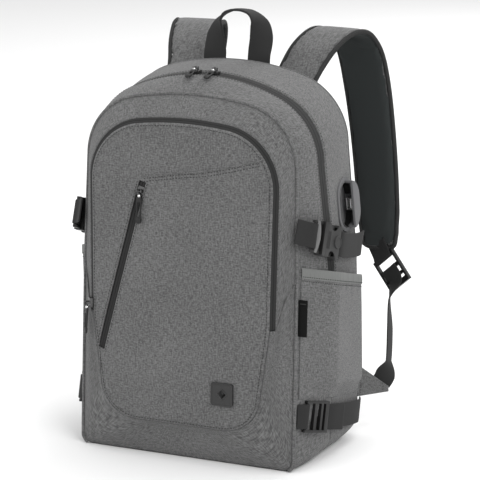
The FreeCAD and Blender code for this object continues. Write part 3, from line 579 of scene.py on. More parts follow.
def lay_out(points: Sequence[Vector], widths: float | Sequence[float], across: Vector | Sequence[Vector],
            count: int) -> list[tuple[Vector, Vector, Vector, float]]:
    """A strap's lie at even steps.

    Args:
        points: its middle line.
        widths: one width, or one for each point.
        across: its width direction, one or one for each point.
        count: steps.

    Returns:
        Middle, width direction, face direction and width at each.
    """
    marks = [0.0]
    for a, b in zip(points, points[1:]):
        marks.append(marks[-1] + (b - a).length)
    line = smooth_route(points, count)
    size = spread(widths if isinstance(widths, (list, tuple)) else [widths] * len(points), marks, count)
    side = spread(across if isinstance(across, (list, tuple)) else [across] * len(points), marks, count)
    frames = []
    for i, point in enumerate(line):
        run = (line[min(i + 1, count)] - line[max(i - 1, 0)]).normalized()
        wide = (side[i] - run * side[i].dot(run)).normalized()
        frames.append((point, wide, run.cross(wide), size[i]))
    return frames


def band(points: Sequence[Vector], widths: float | Sequence[float], thickness: float,
         across: Vector | Sequence[Vector], count: int = 40, around: int = 16, square: float = 0.3) -> BMesh:
    """Flat strap through points with rounded edges.

    Args:
        points: its middle line.
        widths: one width, or one for each point.
        thickness: its thickness.
        across: its width direction, one or one for each point.
        count: faces along.
        around: faces round its section.
        square: 1 for an oval section, towards 0 for a square one.

    Returns:
        The closed mesh.
    """
    frames = lay_out(points, widths, across, count)

    def place(u: float, v: float) -> Vector:
        """Point on the strap's skin.

        Args:
            u: share along.
            v: share round the section.

        Returns:
            The point.
        """
        k = round(u * count)
        point, wide, thick, size = frames[k]
        angle = 2 * math.pi * v
        c, s = math.cos(angle), math.sin(angle)
        x = math.copysign(abs(c) ** square, c) * size / 2
        y = math.copysign(abs(s) ** max(square, 0.5), s) * thickness / 2
        return point + wide * x + thick * y

    bm = bent_grid(count, around, place, wrap_across=True)
    cap_ends(bm)
    face_out(bm)
    return bm


def stitch_row(bm: BMesh, points: Sequence[Vector], outward: Callable[[Vector], Vector], pitch: float = 3.6,
               length: float = 2.6, width: float = 0.75) -> None:
    """Add a row of stitches.

    Args:
        bm: the mesh that gets them.
        points: the seam's line.
        outward: the surface's normal at a point.
        pitch: distance between stitches.
        length: length of one.
        width: thread width.
    """
    count = max(2, int(run_length(points) / pitch))
    line = smooth_route(points, count * 2)
    for i in range(0, count * 2 - 1, 2):
        here, ahead = line[i], line[i + 1]
        run = (ahead - here).normalized()
        up = outward(here)
        side = up.cross(run).normalized()
        turn = Matrix((run, side, up)).transposed().to_4x4()
        turn.translation = (here + ahead) / 2
        scale = Matrix.Diagonal((length / 2, width / 2, width / 2.6, 1.0))
        bmesh.ops.create_uvsphere(bm, u_segments=6, v_segments=4, radius=1.0,
                                  matrix=turn @ scale @ Matrix.Rotation(math.pi / 2, 4, "Y"))


# ---- The bag's form ------------------------------------------------------------------------------


@dataclass(frozen=True)
class Seam:
    """Arch-shaped seam in a plane that leans about X, millimetres and degrees."""

    base_y: float
    tilt: float
    half_width: float
    height: float
    crown_r: float
    shoulder_r: float
    waist_half: float
    waist_z: float
    foot_half: float
    foot_z: float
    foot_r: float

    SHARES = (0.0, 0.19, 0.25, 0.53, 0.72, 0.87, 1.0)   # where each edge of a half outline starts

    def point(self, u: float, grow: float = 0.0, back: float = 0.0) -> Vector:
        """Point on the outline.

        Args:
            u: share round it, 0 and 1 at the middle of the base, right side first.
            grow: distance outwards from it.
            back: distance behind its plane.

        Returns:
            The point.
        """
        u %= 1.0
        side, w = (1, 2 * u) if u <= 0.5 else (-1, 2 - 2 * u)
        k = max(i for i in range(6) if w >= self.SHARES[i] - 1e-9)
        t = (w - self.SHARES[k]) / (self.SHARES[k + 1] - self.SHARES[k])
        sx = self.half_width - self.shoulder_r
        rise = math.sqrt((self.crown_r - self.shoulder_r) ** 2 - sx ** 2)
        sz, join = self.height - self.crown_r + rise, math.atan2(rise, sx)
        foot_x, foot_cz, foot_r = self.foot_half - self.foot_r, self.foot_z + self.foot_r, self.foot_r + grow
        waist = (self.waist_half + grow, self.waist_z)

        def on(cx: float, cz: float, radius: float, angle: float) -> tuple[float, float]:
            """Point on an arc."""
            return cx + radius * math.cos(angle), cz + radius * math.sin(angle)

        def mix(a: tuple[float, float], b: tuple[float, float]) -> tuple[float, float]:
            """Point between two."""
            return a[0] + (b[0] - a[0]) * t, a[1] + (b[1] - a[1]) * t

        if k == 0:
            x, z = foot_x * t, foot_cz - foot_r
        elif k == 1:
            x, z = on(foot_x, foot_cz, foot_r, (t - 1) * math.pi / 2)
        elif k == 2:
            x, z = mix((foot_x + foot_r, foot_cz), waist)
        elif k == 3:
            x, z = mix(waist, (sx + self.shoulder_r + grow, sz))
        elif k == 4:
            x, z = on(sx, sz, self.shoulder_r + grow, join * t)
        else:
            x, z = on(0.0, self.height - self.crown_r, self.crown_r + grow, join + (math.pi / 2 - join) * t)
        lean = math.radians(self.tilt)
        return Vector((side * x, self.base_y + back * math.cos(lean) + z * math.sin(lean),
                       z * math.cos(lean) - back * math.sin(lean)))

    def share_at(self, z: float) -> float:
        """Share round the right half at a height.

        Args:
            z: the height.

        Returns:
            The share.
        """
        low, high = 0.0, 0.5
        for _ in range(HALVINGS):
            mid = (low + high) / 2
            low, high = (mid, high) if self.point(mid).z < z else (low, mid)
        return low

    def half_at(self, z: float) -> float:
        """Half width at height z."""
        return self.point(self.share_at(z)).x

    def y_at(self, z: float) -> float:
        """Y of the plane at height z."""
        return self.base_y + z * math.tan(math.radians(self.tilt))


POCKET = Seam(-103.0, 1.85, 116.0, 397.0, 400.0, 70.0, 114.0, 165.0, 104.0, 41.0, 50.0)
PIPED = Seam(-81.0, 2.76, 129.0, 422.0, 360.0, 71.0, 132.5, 225.0, 134.0, 0.0, 12.0)
ZIPPED = Seam(-17.0, -0.38, 139.0, 438.0, 220.0, 82.0, 152.0, 225.0, 148.0, 0.0, 24.0)
REAR = Seam(82.4, -3.67, 140.0, 444.3, 292.0, 79.0, 148.0, 225.0, 148.0, 0.0, 24.0)
FOOT_SHARE = 0.5 * Seam.SHARES[1]   # share round a seam where its straight foot ends
HEEL_R = 34.0                   # large round from the base up to the back
BACK_FOOT_Z = 50.0


def heel(point: Vector) -> Vector:
    """A point brought inside the large round at the rear of the base.

    Args:
        point: where it would be without the round.

    Returns:
        Where it is.
    """
    lean = math.radians(REAR.tilt)
    centre = Vector((point.x, REAR.y_at(HEEL_R) - HEEL_R / math.cos(lean), HEEL_R))
    reach = point - centre
    if point.z < HEEL_R and reach.y > 0 and reach.length > HEEL_R:
        return centre + reach.normalized() * HEEL_R
    return point


def side_x(y: float, z: float) -> float:
    """Half width of the bag.

    Args:
        y: depth.
        z: height.

    Returns:
        The half width there.
    """
    seams = (PIPED, ZIPPED, REAR)
    depth = [seam.y_at(z) for seam in seams]
    k = 0 if y < depth[1] else 1
    t = (y - depth[k]) / (depth[k + 1] - depth[k])
    return seams[k].half_at(z) * (1 - t) + seams[k + 1].half_at(z) * t


def side_out(point: Vector) -> Vector:
    """Outward direction on the bag's side."""
    return Vector((math.copysign(1.0, point.x), 0.0, 0.0))


@dataclass(frozen=True)
class Gusset:
    """Cloth stretched between two seams, each with an edge set back from it."""

    near: Seam
    far: Seam
    near_back: float
    far_back: float
    near_grow: float = 0.0
    full: float = 1.6            # how far its middle stands out

    def point(self, u: float, t: float, lift: float = 0.0) -> Vector:
        """Point on the cloth.

        Args:
            u: share round the seams.
            t: share across from the near one.
            lift: distance off the surface.

        Returns:
            The point.
        """
        swell = lift + self.full * 4 * t * (1 - t)
        a = self.near.point(u, self.near_grow + swell, self.near_back)
        b = self.far.point(u, swell, self.far_back)
        return heel(a.lerp(b, t))

    def sheet(self, start: float, stop: float, along: int, profile: Profile) -> BMesh:
        """Cloth over a stretch of the seams.

        Args:
            start: share round the seams where it starts.
            stop: where it ends.
            along: faces along the seams.
            profile: share across and lift of each column.

        Returns:
            The mesh.
        """
        last = len(profile) - 1

        def place(u: float, v: float) -> Vector:
            """Point on the cloth."""
            t, lift = sample(profile, v * last)
            return self.point(start + (stop - start) * u, t, lift)

        bm = bent_grid(along, last, place)
        face_out(bm, BAG_CENTRE)
        return bm


def sample(profile: Profile, where: float) -> tuple[float, ...]:
    """A profile's values at a place along it.

    Args:
        profile: its columns.
        where: column number, with a fraction.

    Returns:
        The values there.
    """
    k = min(int(where + 1e-6), len(profile) - 2)
    t = where - k
    return tuple(a * (1 - t) + b * t for a, b in zip(profile[k], profile[k + 1]))


def even_profile(start: Profile, steps: int, stop: Profile) -> list[tuple[float, float]]:
    """A profile with an even middle between its worked edges.

    Args:
        start: columns of the first edge.
        steps: faces in the middle.
        stop: columns of the last edge.

    Returns:
        The whole profile.
    """
    low, high = start[-1], stop[0]
    middle = [(low[0] + (high[0] - low[0]) * i / steps, low[1] + (high[1] - low[1]) * i / steps)
              for i in range(1, steps)]
    return [*start, *middle, *stop]


def seam_sweep(seam: Seam, start: float, stop: float, along: int, profile: Profile) -> BMesh:
    """Strip along a seam.

    Args:
        seam: the seam.
        start: share round it where the strip starts.
        stop: where it ends.
        along: faces along it.
        profile: how far outside and behind the seam each column lies.

    Returns:
        The mesh.
    """
    last = len(profile) - 1

    def place(u: float, v: float) -> Vector:
        """Point on the strip."""
        grow, back = sample(profile, v * last)
        return seam.point(start + (stop - start) * u, grow, back)

    bm = bent_grid(along, last, place)
    face_out(bm, BAG_CENTRE)
    return bm


@dataclass(frozen=True)
class BagShell:
    """Main compartment: gussets, zip, piping, base, back and its pads."""

    zip_half: float = 9.5
    zip_end_z: float = 192.0
    piping_r: float = 2.0
    cloth: float = 1.6
    pad_levels: tuple[tuple[str, float, float], ...] = (("lower", 64.0, 215.0), ("upper", 227.0, 378.0))
    pad_in: float = 29.0         # pads' edges inside the rear seam
    pad_faces: tuple[float, float] = (0.4, 5.6)     # a pad's two faces behind the back
    port: tuple[float, float] = (35.0, 288.0)
    port_reach: tuple[float, float] = (19.0, 28.5)

    def front(self) -> Gusset:
        """Cloth from the piping to the zip."""
        return Gusset(PIPED, ZIPPED, 0.0, -self.zip_half)

    def rear(self) -> Gusset:
        """Cloth from the zip to the back."""
        return Gusset(ZIPPED, REAR, self.zip_half, 0.0)

    def gussets(self) -> None:
        """Both gussets, from the base's corners over the crown."""
        profile = even_profile([(0.0, -2.2), (0.0, 0.0), (0.03, 0.3)], 9,
                               [(0.94, 0.5), (0.985, 0.7), (1.0, 0.2), (1.0, -1.6)])
        bm = self.front().sheet(FOOT_SHARE, 1 - FOOT_SHARE, 300, profile)
        piece("front_gusset_cloth", bm, Finish.SIDE, "bag", ["front_gusset"],
              Rounding(thickness=self.cloth, levels=1))
        profile = even_profile([(0.0, -1.6), (0.0, 0.2), (0.012, 0.7), (0.05, 0.5)], 30,
                               [(0.98, 0.2), (0.995, -0.6), (1.0, -2.4)])
        bm = self.rear().sheet(FOOT_SHARE, 1 - FOOT_SHARE, 360, profile)
        inside = [face for face in bm.faces if self.in_port(face.calc_center_median())]
        bmesh.ops.delete(bm, geom=inside, context="FACES")
        piece("rear_gusset_cloth", bm, Finish.SIDE, "bag", ["rear_gusset"],
              Rounding(thickness=self.cloth))

    def in_port(self, point: Vector) -> bool:
        """Whether a point on the right side lies in the charging port's opening.

        Args:
            point: a place on the cloth.

        Returns:
            True inside the hole.
        """
        half, reach = self.port_reach
        dz = max(0.0, abs(point.z - self.port[1]) - (reach - half))
        return point.x > 100 and math.hypot(point.y - self.port[0], dz) < half

    def zip(self) -> None:
        """Main zip, two tapes that meet in a closed line, and the cloth join under its ends."""
        start = ZIPPED.share_at(self.zip_end_z)
        half = self.zip_half
        edge = ((-1.8, half + 1.5), (-0.9, half + 0.4), (-0.5, half - 0.6), (-0.3, 1.2), (-0.4, 0.5))
        profile = [*((grow, -back) for grow, back in edge), (-1.3, 0.0), *edge[::-1]]
        bm = seam_sweep(ZIPPED, start, 1 - start, 320, profile)
        piece("main_zip", bm, Finish.TAPE, "bag", ["main_zip_tape"], Rounding(thickness=1.0))
        join = [(-0.6, -half - 1), (0.3, -half), (0.5, 0.0), (0.3, half), (-0.6, half + 1)]
        for name, low, high in (("right", FOOT_SHARE, start), ("left", 1 - start, 1 - FOOT_SHARE)):
            bm = seam_sweep(ZIPPED, low, high, 60, join)
            piece("lower_gusset_join_" + name, bm, Finish.SIDE, "bag", (),
                  Rounding(thickness=1.0))

    def piping(self) -> None:
        """Corded piping round the front edge."""
        start, r = FOOT_SHARE + 0.01, self.piping_r

        def place(u: float, v: float) -> Vector:
            """Point on the cord's skin."""
            angle = 2 * math.pi * v
            return PIPED.point(start + (1 - 2 * start) * u, r * math.cos(angle), -r + r * math.sin(angle))

        bm = bent_grid(360, 14, place, wrap_across=True)
        cap_ends(bm)
        face_out(bm)
        piece("edge_piping", bm, Finish.SIDE, "bag", ["piping"])

    def base(self) -> None:
        """Base cloth, its rise up the rear round, and the back panel above it."""
        whole = Gusset(PIPED, REAR, 0.0, 0.0, full=0.0)
        bm = whole.sheet(-FOOT_SHARE, FOOT_SHARE, 40, even_profile([(0.0, 0.0)], 30, [(1.0, 0.0)]))
        level = {"plane_co": (0, 0, BACK_FOOT_Z), "plane_no": (0, 0, 1)}
        low = self.back_disc()
        bmesh.ops.bisect_plane(low, geom=every_part(low), clear_outer=True, **level)
        add_mesh(bm, low)
        bmesh.ops.remove_doubles(bm, verts=bm.verts, dist=0.6)
        face_out(bm, BAG_CENTRE)
        piece("base_cloth", bm, Finish.SIDE, "bag", ["base_panel"])
        high = self.back_disc()
        bmesh.ops.bisect_plane(high, geom=every_part(high), clear_inner=True, **level)
        piece("back_cloth", high, Finish.LINING, "bag", ["back_panel"])

    def back_disc(self) -> BMesh:
        """The surface inside the rear seam.

        Returns:
            The mesh.
        """
        middle = Vector((0.0, REAR.y_at(230.0), 230.0))

        def place(u: float, v: float) -> Vector:
            """Point on the back."""
            return heel(middle.lerp(REAR.point(u), 1 - v))

        bm = bent_grid(200, 24, place, wrap_along=True)
        face_out(bm, BAG_CENTRE)
        return bm

    def seam_tape(self) -> None:
        """Bound seam round the back edge."""
        profile = [(-1.0, -1.2), (0.6, -0.9), (0.9, 0.0), (0.9, 0.8), (0.2, 1.3), (-2.4, 1.3), (-3.0, 0.2)]
        bm = seam_sweep(REAR, REAR.share_at(BACK_FOOT_Z), 1 - REAR.share_at(BACK_FOOT_Z), 300, profile)
        piece("back_edge_seam", bm, Finish.SIDE, "bag")

    def back_pads(self) -> None:
        """Two quilted mesh pads on the back."""
        for name, low, high in self.pad_levels:
            bm = self.pad_form(low, high)
            node = "back_pad_" + name
            pad = piece(node + "_mesh", bm, Finish.MESH, "bag", [node])
            inflate(pad, 3.0)

    def pad_form(self, low: float, high: float) -> BMesh:
        """Flat pad, slightly smaller than it ends up.

        Args:
            low: height of its foot.
            high: height of its top.

        Returns:
            The mesh.
        """
        middle = Vector((0.0, REAR.y_at((low + high) / 2), (low + high) / 2))

        def place(u: float, v: float) -> Vector:
            """Point on the pad's skin.

            Args:
                u: share round the outline.
                v: share from one face to the other.

            Returns:
                The point.
            """
            edge = REAR.point(u, -self.pad_in)
            edge.z = min(max(edge.z, low + 2), high - 2)
            edge.y = REAR.y_at(edge.z)
            under, over = self.pad_faces
            if v < 0.5:
                flat = middle.lerp(edge, min(1.0, v * 2.4))
                flat.y = REAR.y_at(flat.z) + under
                return flat
            flat = middle.lerp(edge, min(1.0, (1 - v) * 2.4) * 0.985)
            flat.y = REAR.y_at(flat.z) + over
            return flat

        bm = bent_grid(120, 24, place, wrap_along=True)
        face_out(bm)
        return bm

    def crown_seam(self) -> None:
        """Short join across the front gusset at the crown."""
        gusset = self.front()
        line = [gusset.point(0.5, t, 0.35) for t in (0.02, 0.25, 0.5, 0.75, 0.95)]
        bm = band(line, 1.6, 0.7, Vector((1.0, 0.0, 0.0)), count=16, around=8)
        piece("crown_seam", bm, Finish.SIDE, "bag")

    def topstitching(self) -> None:
        """Stitch rows beside the main zip."""
        bm = bmesh.new()
        start = ZIPPED.share_at(self.zip_end_z - 20)
        for gusset, t in ((self.front(), 0.94), (self.rear(), 0.035)):
            line = [gusset.point(start + (1 - 2 * start) * i / 160, t, 0.75) for i in range(161)]
            stitch_row(bm, line, lambda p: (p - Vector((0.0, p.y, 230.0))).normalized())
        piece("zip_topstitching", bm, Finish.THREAD, "bag")

    def build(self) -> None:
        """Every piece of the main compartment."""
        self.gussets()
        self.zip()
        self.piping()
        self.base()
        self.seam_tape()
        self.back_pads()
        self.crown_seam()
        self.topstitching()


def inflate(pad: Object, cap: float, voxel: float = 5.0) -> None:
    """Swell a pad as stuffed cloth and keep the result.

    Args:
        pad: the pad, already in place.
        cap: furthest that a point may move, millimetres.
        voxel: size of the remesh, millimetres.
    """
    bpy.context.view_layer.objects.active = pad
    remesh = pad.modifiers.new("remesh", "REMESH")
    remesh.mode, remesh.voxel_size = "VOXEL", voxel * MM
    keep(pad)
    scene = bpy.context.scene
    before = [vert.co.copy() for vert in pad.data.vertices]
    cloth = pad.modifiers.new("cloth", "CLOTH")
    cloth.settings.use_pressure = True
    cloth.settings.uniform_pressure_force = 4.0
    cloth.settings.effector_weights.gravity = 0.0
    cloth.point_cache.frame_start, cloth.point_cache.frame_end = 1, 20
    for step in range(1, 21):
        scene.frame_set(step)
    keep(pad)
    for vert, old in zip(pad.data.vertices, before):
        move = vert.co - old
        if move.length > cap * MM:
            vert.co = old + move.normalized() * cap * MM
    scene.frame_set(1)
    bm = bmesh.new()
    bm.from_mesh(pad.data)
    bmesh.ops.subdivide_edges(bm, edges=bm.edges, cuts=1, use_grid_fill=True)
    bmesh.ops.smooth_vert(bm, verts=bm.verts, factor=0.5, use_axis_x=True, use_axis_y=True, use_axis_z=True)
    flat = bm.verts.layers.float_vector.get("cloth") or bm.verts.layers.float_vector.new("cloth")
    for vert in bm.verts:
        vert[flat] = Vector((vert.co.z, vert.co.x, 0.0)) / MM
    bm.to_mesh(pad.data)
    bm.free()
    pad.data.polygons.foreach_set("use_smooth", [True] * len(pad.data.polygons))


def keep(made: Object) -> None:
    """Apply an object's modifiers to its mesh.

    Args:
        made: the object.
    """
    graph = bpy.context.evaluated_depsgraph_get()
    shaped = bpy.data.meshes.new_from_object(made.evaluated_get(graph))
    old, made.data = made.data, shaped
    made.modifiers.clear()
    bpy.data.meshes.remove(old)


@dataclass(frozen=True)
class FrontPocket:
    """The pocket that stands proud of the front, with its two zips and trims."""

    zip_end_z: float = 167.0
    inner: float = -4.5          # edge of the face cloth from the seam
    outer: float = 1.5           # edge of the gusset cloth from the seam
    deep: float = 6.0
    full: float = 5.0            # how far the face swells
    slit_top: tuple[float, float] = (-45.6, 324.4)
    slit_foot: tuple[float, float] = (-99.2, 124.4)
    slit_half: float = 4.5
    badge_at: tuple[float, float] = (55.4, 89.0)
    badge: float = 27.0

    def swell(self, x: float, z: float) -> float:
        """How far the face stands forward.

        Args:
            x: place across.
            z: height.

        Returns:
            The distance.
        """
        a = min(1.0, abs(x) / POCKET.half_at(min(max(z, 45.0), 396.0)))
        b = min(1.0, abs(z - 218.0) / 178.0)
        return self.full * (1 - a ** 2.6) ** 0.7 * (1 - b ** 2.6) ** 0.7

    def face(self, x: float, z: float, lift: float = 0.0) -> Vector:
        """Point on the face cloth, lifted forward of it."""
        return Vector((x, POCKET.y_at(z) - self.swell(x, z) - lift, z))

    def run(self) -> tuple[Vector, Vector, Vector]:
        """Where the slanted zip runs.

        Returns:
            Its foot, the way to its top and its sideways direction.
        """
        foot = Vector((self.slit_foot[0], 0.0, self.slit_foot[1]))
        ahead = Vector((self.slit_top[0], 0.0, self.slit_top[1])) - foot
        return foot, ahead, Vector((ahead.z, 0.0, -ahead.x)).normalized()

    def panel(self) -> None:
        """Face cloth with the slit for the slanted zip."""
        middle = Vector((0.0, 0.0, 215.0))

        def place(u: float, v: float) -> Vector:
            """Point on the face.

            Args:
                u: share round the seam.
                v: share inwards.

            Returns:
                The point.
            """
            edge = POCKET.point(u, self.inner)
            if v < 0.04:
                return POCKET.point(u, self.inner + 0.3, 2.6 - v * 50)
            s = 1 - (v - 0.04) / 0.96
            flat = Vector((edge.x, 0.0, edge.z)).lerp(middle, 1 - s)
            return self.face(flat.x, flat.z, 0.6 * (1 - s ** 20))

        bm = bent_grid(320, 50, place, wrap_along=True)
        foot, ahead, side = self.run()
        along = ahead.normalized()
        for spot, normal in ((foot, along), (foot + ahead, along), (foot + side * self.slit_half, side),
                             (foot - side * self.slit_half, side)):
            bmesh.ops.bisect_plane(bm, geom=every_part(bm), plane_co=spot, plane_no=normal)
        inside = []
        for f in bm.faces:
            reach = f.calc_center_median() - foot
            reach.y = 0.0
            if 0 < reach.dot(along) < ahead.length and abs(reach.dot(side)) < self.slit_half:
                inside.append(f)
        bmesh.ops.delete(bm, geom=inside, context="FACES")
        flat = bm.verts.layers.float_vector["cloth"]
        for vert in bm.verts:
            vert[flat] = Vector((vert.co.z, vert.co.x, 0.0))
        face_out(bm, BAG_CENTRE)
        piece("front_face_cloth", bm, Finish.FRONT, "bag", ["pocket_panel"],
              Rounding(thickness=1.8))

    def zip(self) -> None:
        """Bevelled zip round the top of the pocket."""
        start = POCKET.share_at(self.zip_end_z)
        length = math.hypot(self.outer - self.inner, self.deep)
        lie = Vector((self.outer - self.inner, self.deep)).normalized()
        up = Vector((lie.y, -lie.x))
        marks = ((-1.0, -1.4), (0.3, -0.4), (1.2, 0.1), (3.4, 0.35), (3.8, 0.1), (4.1, -0.8), (4.4, 0.1),
                 (4.8, 0.35), (length - 1.2, 0.1), (length - 0.3, -0.4), (length + 1.0, -1.4))
        profile = []
        for reach, high in marks:
            spot = Vector((self.inner, 0.0)) + lie * reach + up * (high - 0.3)
            profile.append((spot.x, spot.y))
        bm = seam_sweep(POCKET, start, 1 - start, 320, profile)
        piece("pocket_zip", bm, Finish.TAPE, "bag", ["front_zip_tape"], Rounding(thickness=1.0))

    def walls(self) -> None:
        """Gusset above the zip's ends and the lower panel below them."""
        wall = Gusset(POCKET, PIPED, self.deep, -2.2, near_grow=self.outer, full=1.0)
        start = POCKET.share_at(self.zip_end_z)
        profile = even_profile([(0.0, -1.8), (0.0, 0.0), (0.02, 0.6), (0.1, 0.4)], 8,
                               [(0.96, -0.6), (1.0, -1.8)])
        bm = wall.sheet(start, 1 - start, 300, profile)
        piece("pocket_gusset_cloth", bm, Finish.SIDE, "bag", ["pocket_gusset"],
              Rounding(thickness=1.4))
        rolled = [(self.inner + 0.2, 1.8), (self.inner + 1.0, 0.9), (self.inner + 2.4, 1.1), (0.0, 2.8),
                  (self.outer, 4.6)]
        last = 16

        def place(u: float, v: float) -> Vector:
            """Point on the lower panel.

            Args:
                u: share along the panel.
                v: share from the face to the piping.

            Returns:
                The point.
            """
            share = -start + 2 * start * u
            where = v * last
            if where <= len(rolled) - 1:
                grow, back = sample(rolled, where)
                return POCKET.point(share, grow, back)
            t = (where - len(rolled) + 1) / (last - len(rolled) + 1)
            near = POCKET.point(share, self.outer + t, 4.6)
            far = PIPED.point(share, -1.2, -2.2)
            drop = near.lerp(far, t)
            drop.y -= 3.5 * math.sin(math.pi * t) ** 2
            return drop

        bm = bent_grid(240, last, place)
        face_out(bm, BAG_CENTRE)
        piece("lower_front_cloth", bm, Finish.FRONT, "bag", ["lower_front_panel"],
              Rounding(thickness=1.4))
        for name, side in SIDES.items():
            share = start if side > 0 else 1 - start
            line = [wall.point(share, t, 0.5) for t in (0.0, 0.3, 0.65, 0.97)]
            bm = band(line, 1.6, 0.8, Vector((0.0, 0.0, 1.0)), count=14, around=8)
            piece("gusset_cross_seam_" + name, bm, Finish.SIDE, "bag")

    def slit(self) -> None:
        """Slanted zip set in the face."""
        foot, ahead, side = self.run()
        edge = ((-5.6, 1.8), (-4.2, 1.5), (-3.0, 0.9), (-0.7, 0.7), (-0.3, 1.0))
        marks = (*edge, (0.0, 1.7), *((-reach, depth) for reach, depth in edge[::-1]))
        last = len(marks) - 1

        def place(u: float, v: float) -> Vector:
            """Point on the zip.

            Args:
                u: share along the zip.
                v: share across.

            Returns:
                The point.
            """
            reach, depth = sample(marks, v * last)
            spot = foot + ahead * (u * 1.02 - 0.01) + side * reach
            return self.face(spot.x, spot.z, -depth - 0.4)

        bm = bent_grid(90, last, place)
        face_out(bm, BAG_CENTRE)
        piece("slanted_zip", bm, Finish.TAPE, "bag", ["diagonal_zip_tape"],
              Rounding(thickness=0.8))

    def yoke(self) -> None:
        """Seam across the face from the slanted zip's top to the right edge, and the one under its foot."""
        marks = ((-46.5, 330.0), (-30.0, 333.2), (0.0, 338.0), (24.8, 341.2), (60.0, 349.0), (101.0, 360.5))
        line = [self.face(x, z, 0.75) for x, z in marks]
        bm = band(line, 1.5, 1.0, Vector((0.0, 0.0, 1.0)), count=60, around=8)
        piece("yoke_seam", bm, Finish.FRONT, "bag")
        foot, _, side = self.run()
        low = [foot - side * 0.5, Vector((-100.5, 0.0, 112.0)), Vector((-101.5, 0.0, 96.0))]
        line = [self.face(p.x, p.z, 0.5) for p in low]
        bm = band(line, 1.2, 0.7, Vector((1.0, 0.0, 0.0)), count=16, around=8)
        piece("slit_tail_seam", bm, Finish.FRONT, "bag")

    def topstitching(self) -> None:
        """Stitch rows on the face."""
        bm = bmesh.new()
        foot, ahead, side = self.run()
        rows = []
        for gap in (-self.slit_half - 1.8, self.slit_half + 1.8):
            ends = [foot + ahead * t + side * gap for t in (0.0, 0.25, 0.5, 0.75, 1.0)]
            rows.append([(p.x, p.z) for p in ends])
        seam = ((-44.0, 330.2), (0.0, 338.0), (24.8, 341.2), (60.0, 349.0), (98.0, 359.5))
        for drop in (2.4, 6.0):
            rows.append([(x, z - drop) for x, z in seam])
        for row in rows:
            stitch_row(bm, [self.face(x, z, 0.75) for x, z in row], lambda p: Vector((0.0, -1.0, 0.0)))
        edge = []
        for i in range(161):
            p = POCKET.point(i / 160, self.inner - 2.6)
            edge.append(self.face(p.x, p.z, 0.75))
        stitch_row(bm, edge, lambda p: Vector((0.0, -1.0, 0.0)))
        piece("face_topstitching", bm, Finish.THREAD, "bag")

    def patch(self) -> None:
        """Square rubber badge with a raised rim and a plain lozenge."""
        turn = Matrix.Rotation(math.radians(-POCKET.tilt), 4, "X")
        at = Matrix.Translation(self.face(*self.badge_at)) @ turn
        bm = bmesh.new()
        bmesh.ops.create_cube(bm, size=1.0, matrix=Matrix.Diagonal((self.badge, 5.0, self.badge, 1.0)))
        upright = [e for e in bm.edges if abs((e.verts[0].co - e.verts[1].co).y) > 2]
        bmesh.ops.bevel(bm, geom=upright, offset=3.2, segments=6, **ROUND_EDGES)
        top = [min(bm.faces, key=lambda f: f.calc_center_median().y)]
        bmesh.ops.inset_region(bm, faces=top, thickness=1.4, depth=0.0)
        bmesh.ops.inset_region(bm, faces=top, thickness=0.5, depth=-0.7)
        lozenge = bmesh.new()
        bmesh.ops.create_cube(lozenge, size=1.0, matrix=Matrix.Rotation(math.radians(45), 4, "Y")
                              @ Matrix.Diagonal((10.0, 4.8, 10.0, 1.0)))
        top = [min(lozenge.faces, key=lambda f: f.calc_center_median().y)]
        bmesh.ops.inset_region(lozenge, faces=top, thickness=1.4, depth=0.0)
        bmesh.ops.inset_region(lozenge, faces=top, thickness=0.3, depth=-0.6)
        add_mesh(bm, lozenge)
        bmesh.ops.transform(bm, matrix=at @ Matrix.Translation((0.0, -0.8, 0.0)), verts=bm.verts)
        piece("badge", bm, Finish.BADGE, "bag", ["badge_patch"], Rounding(bevel=0.25))

    def build(self) -> None:
        """Every piece of the front pocket."""
        self.panel()
        self.zip()
        self.walls()
        self.slit()
        self.yoke()
        self.topstitching()
        self.patch()


# ---- Side pockets --------------------------------------------------------------------------------

def ease(value: float) -> float:
    """Smooth step from 0 to 1."""
    value = min(max(value, 0.0), 1.0)
    return value * value * (3 - 2 * value)


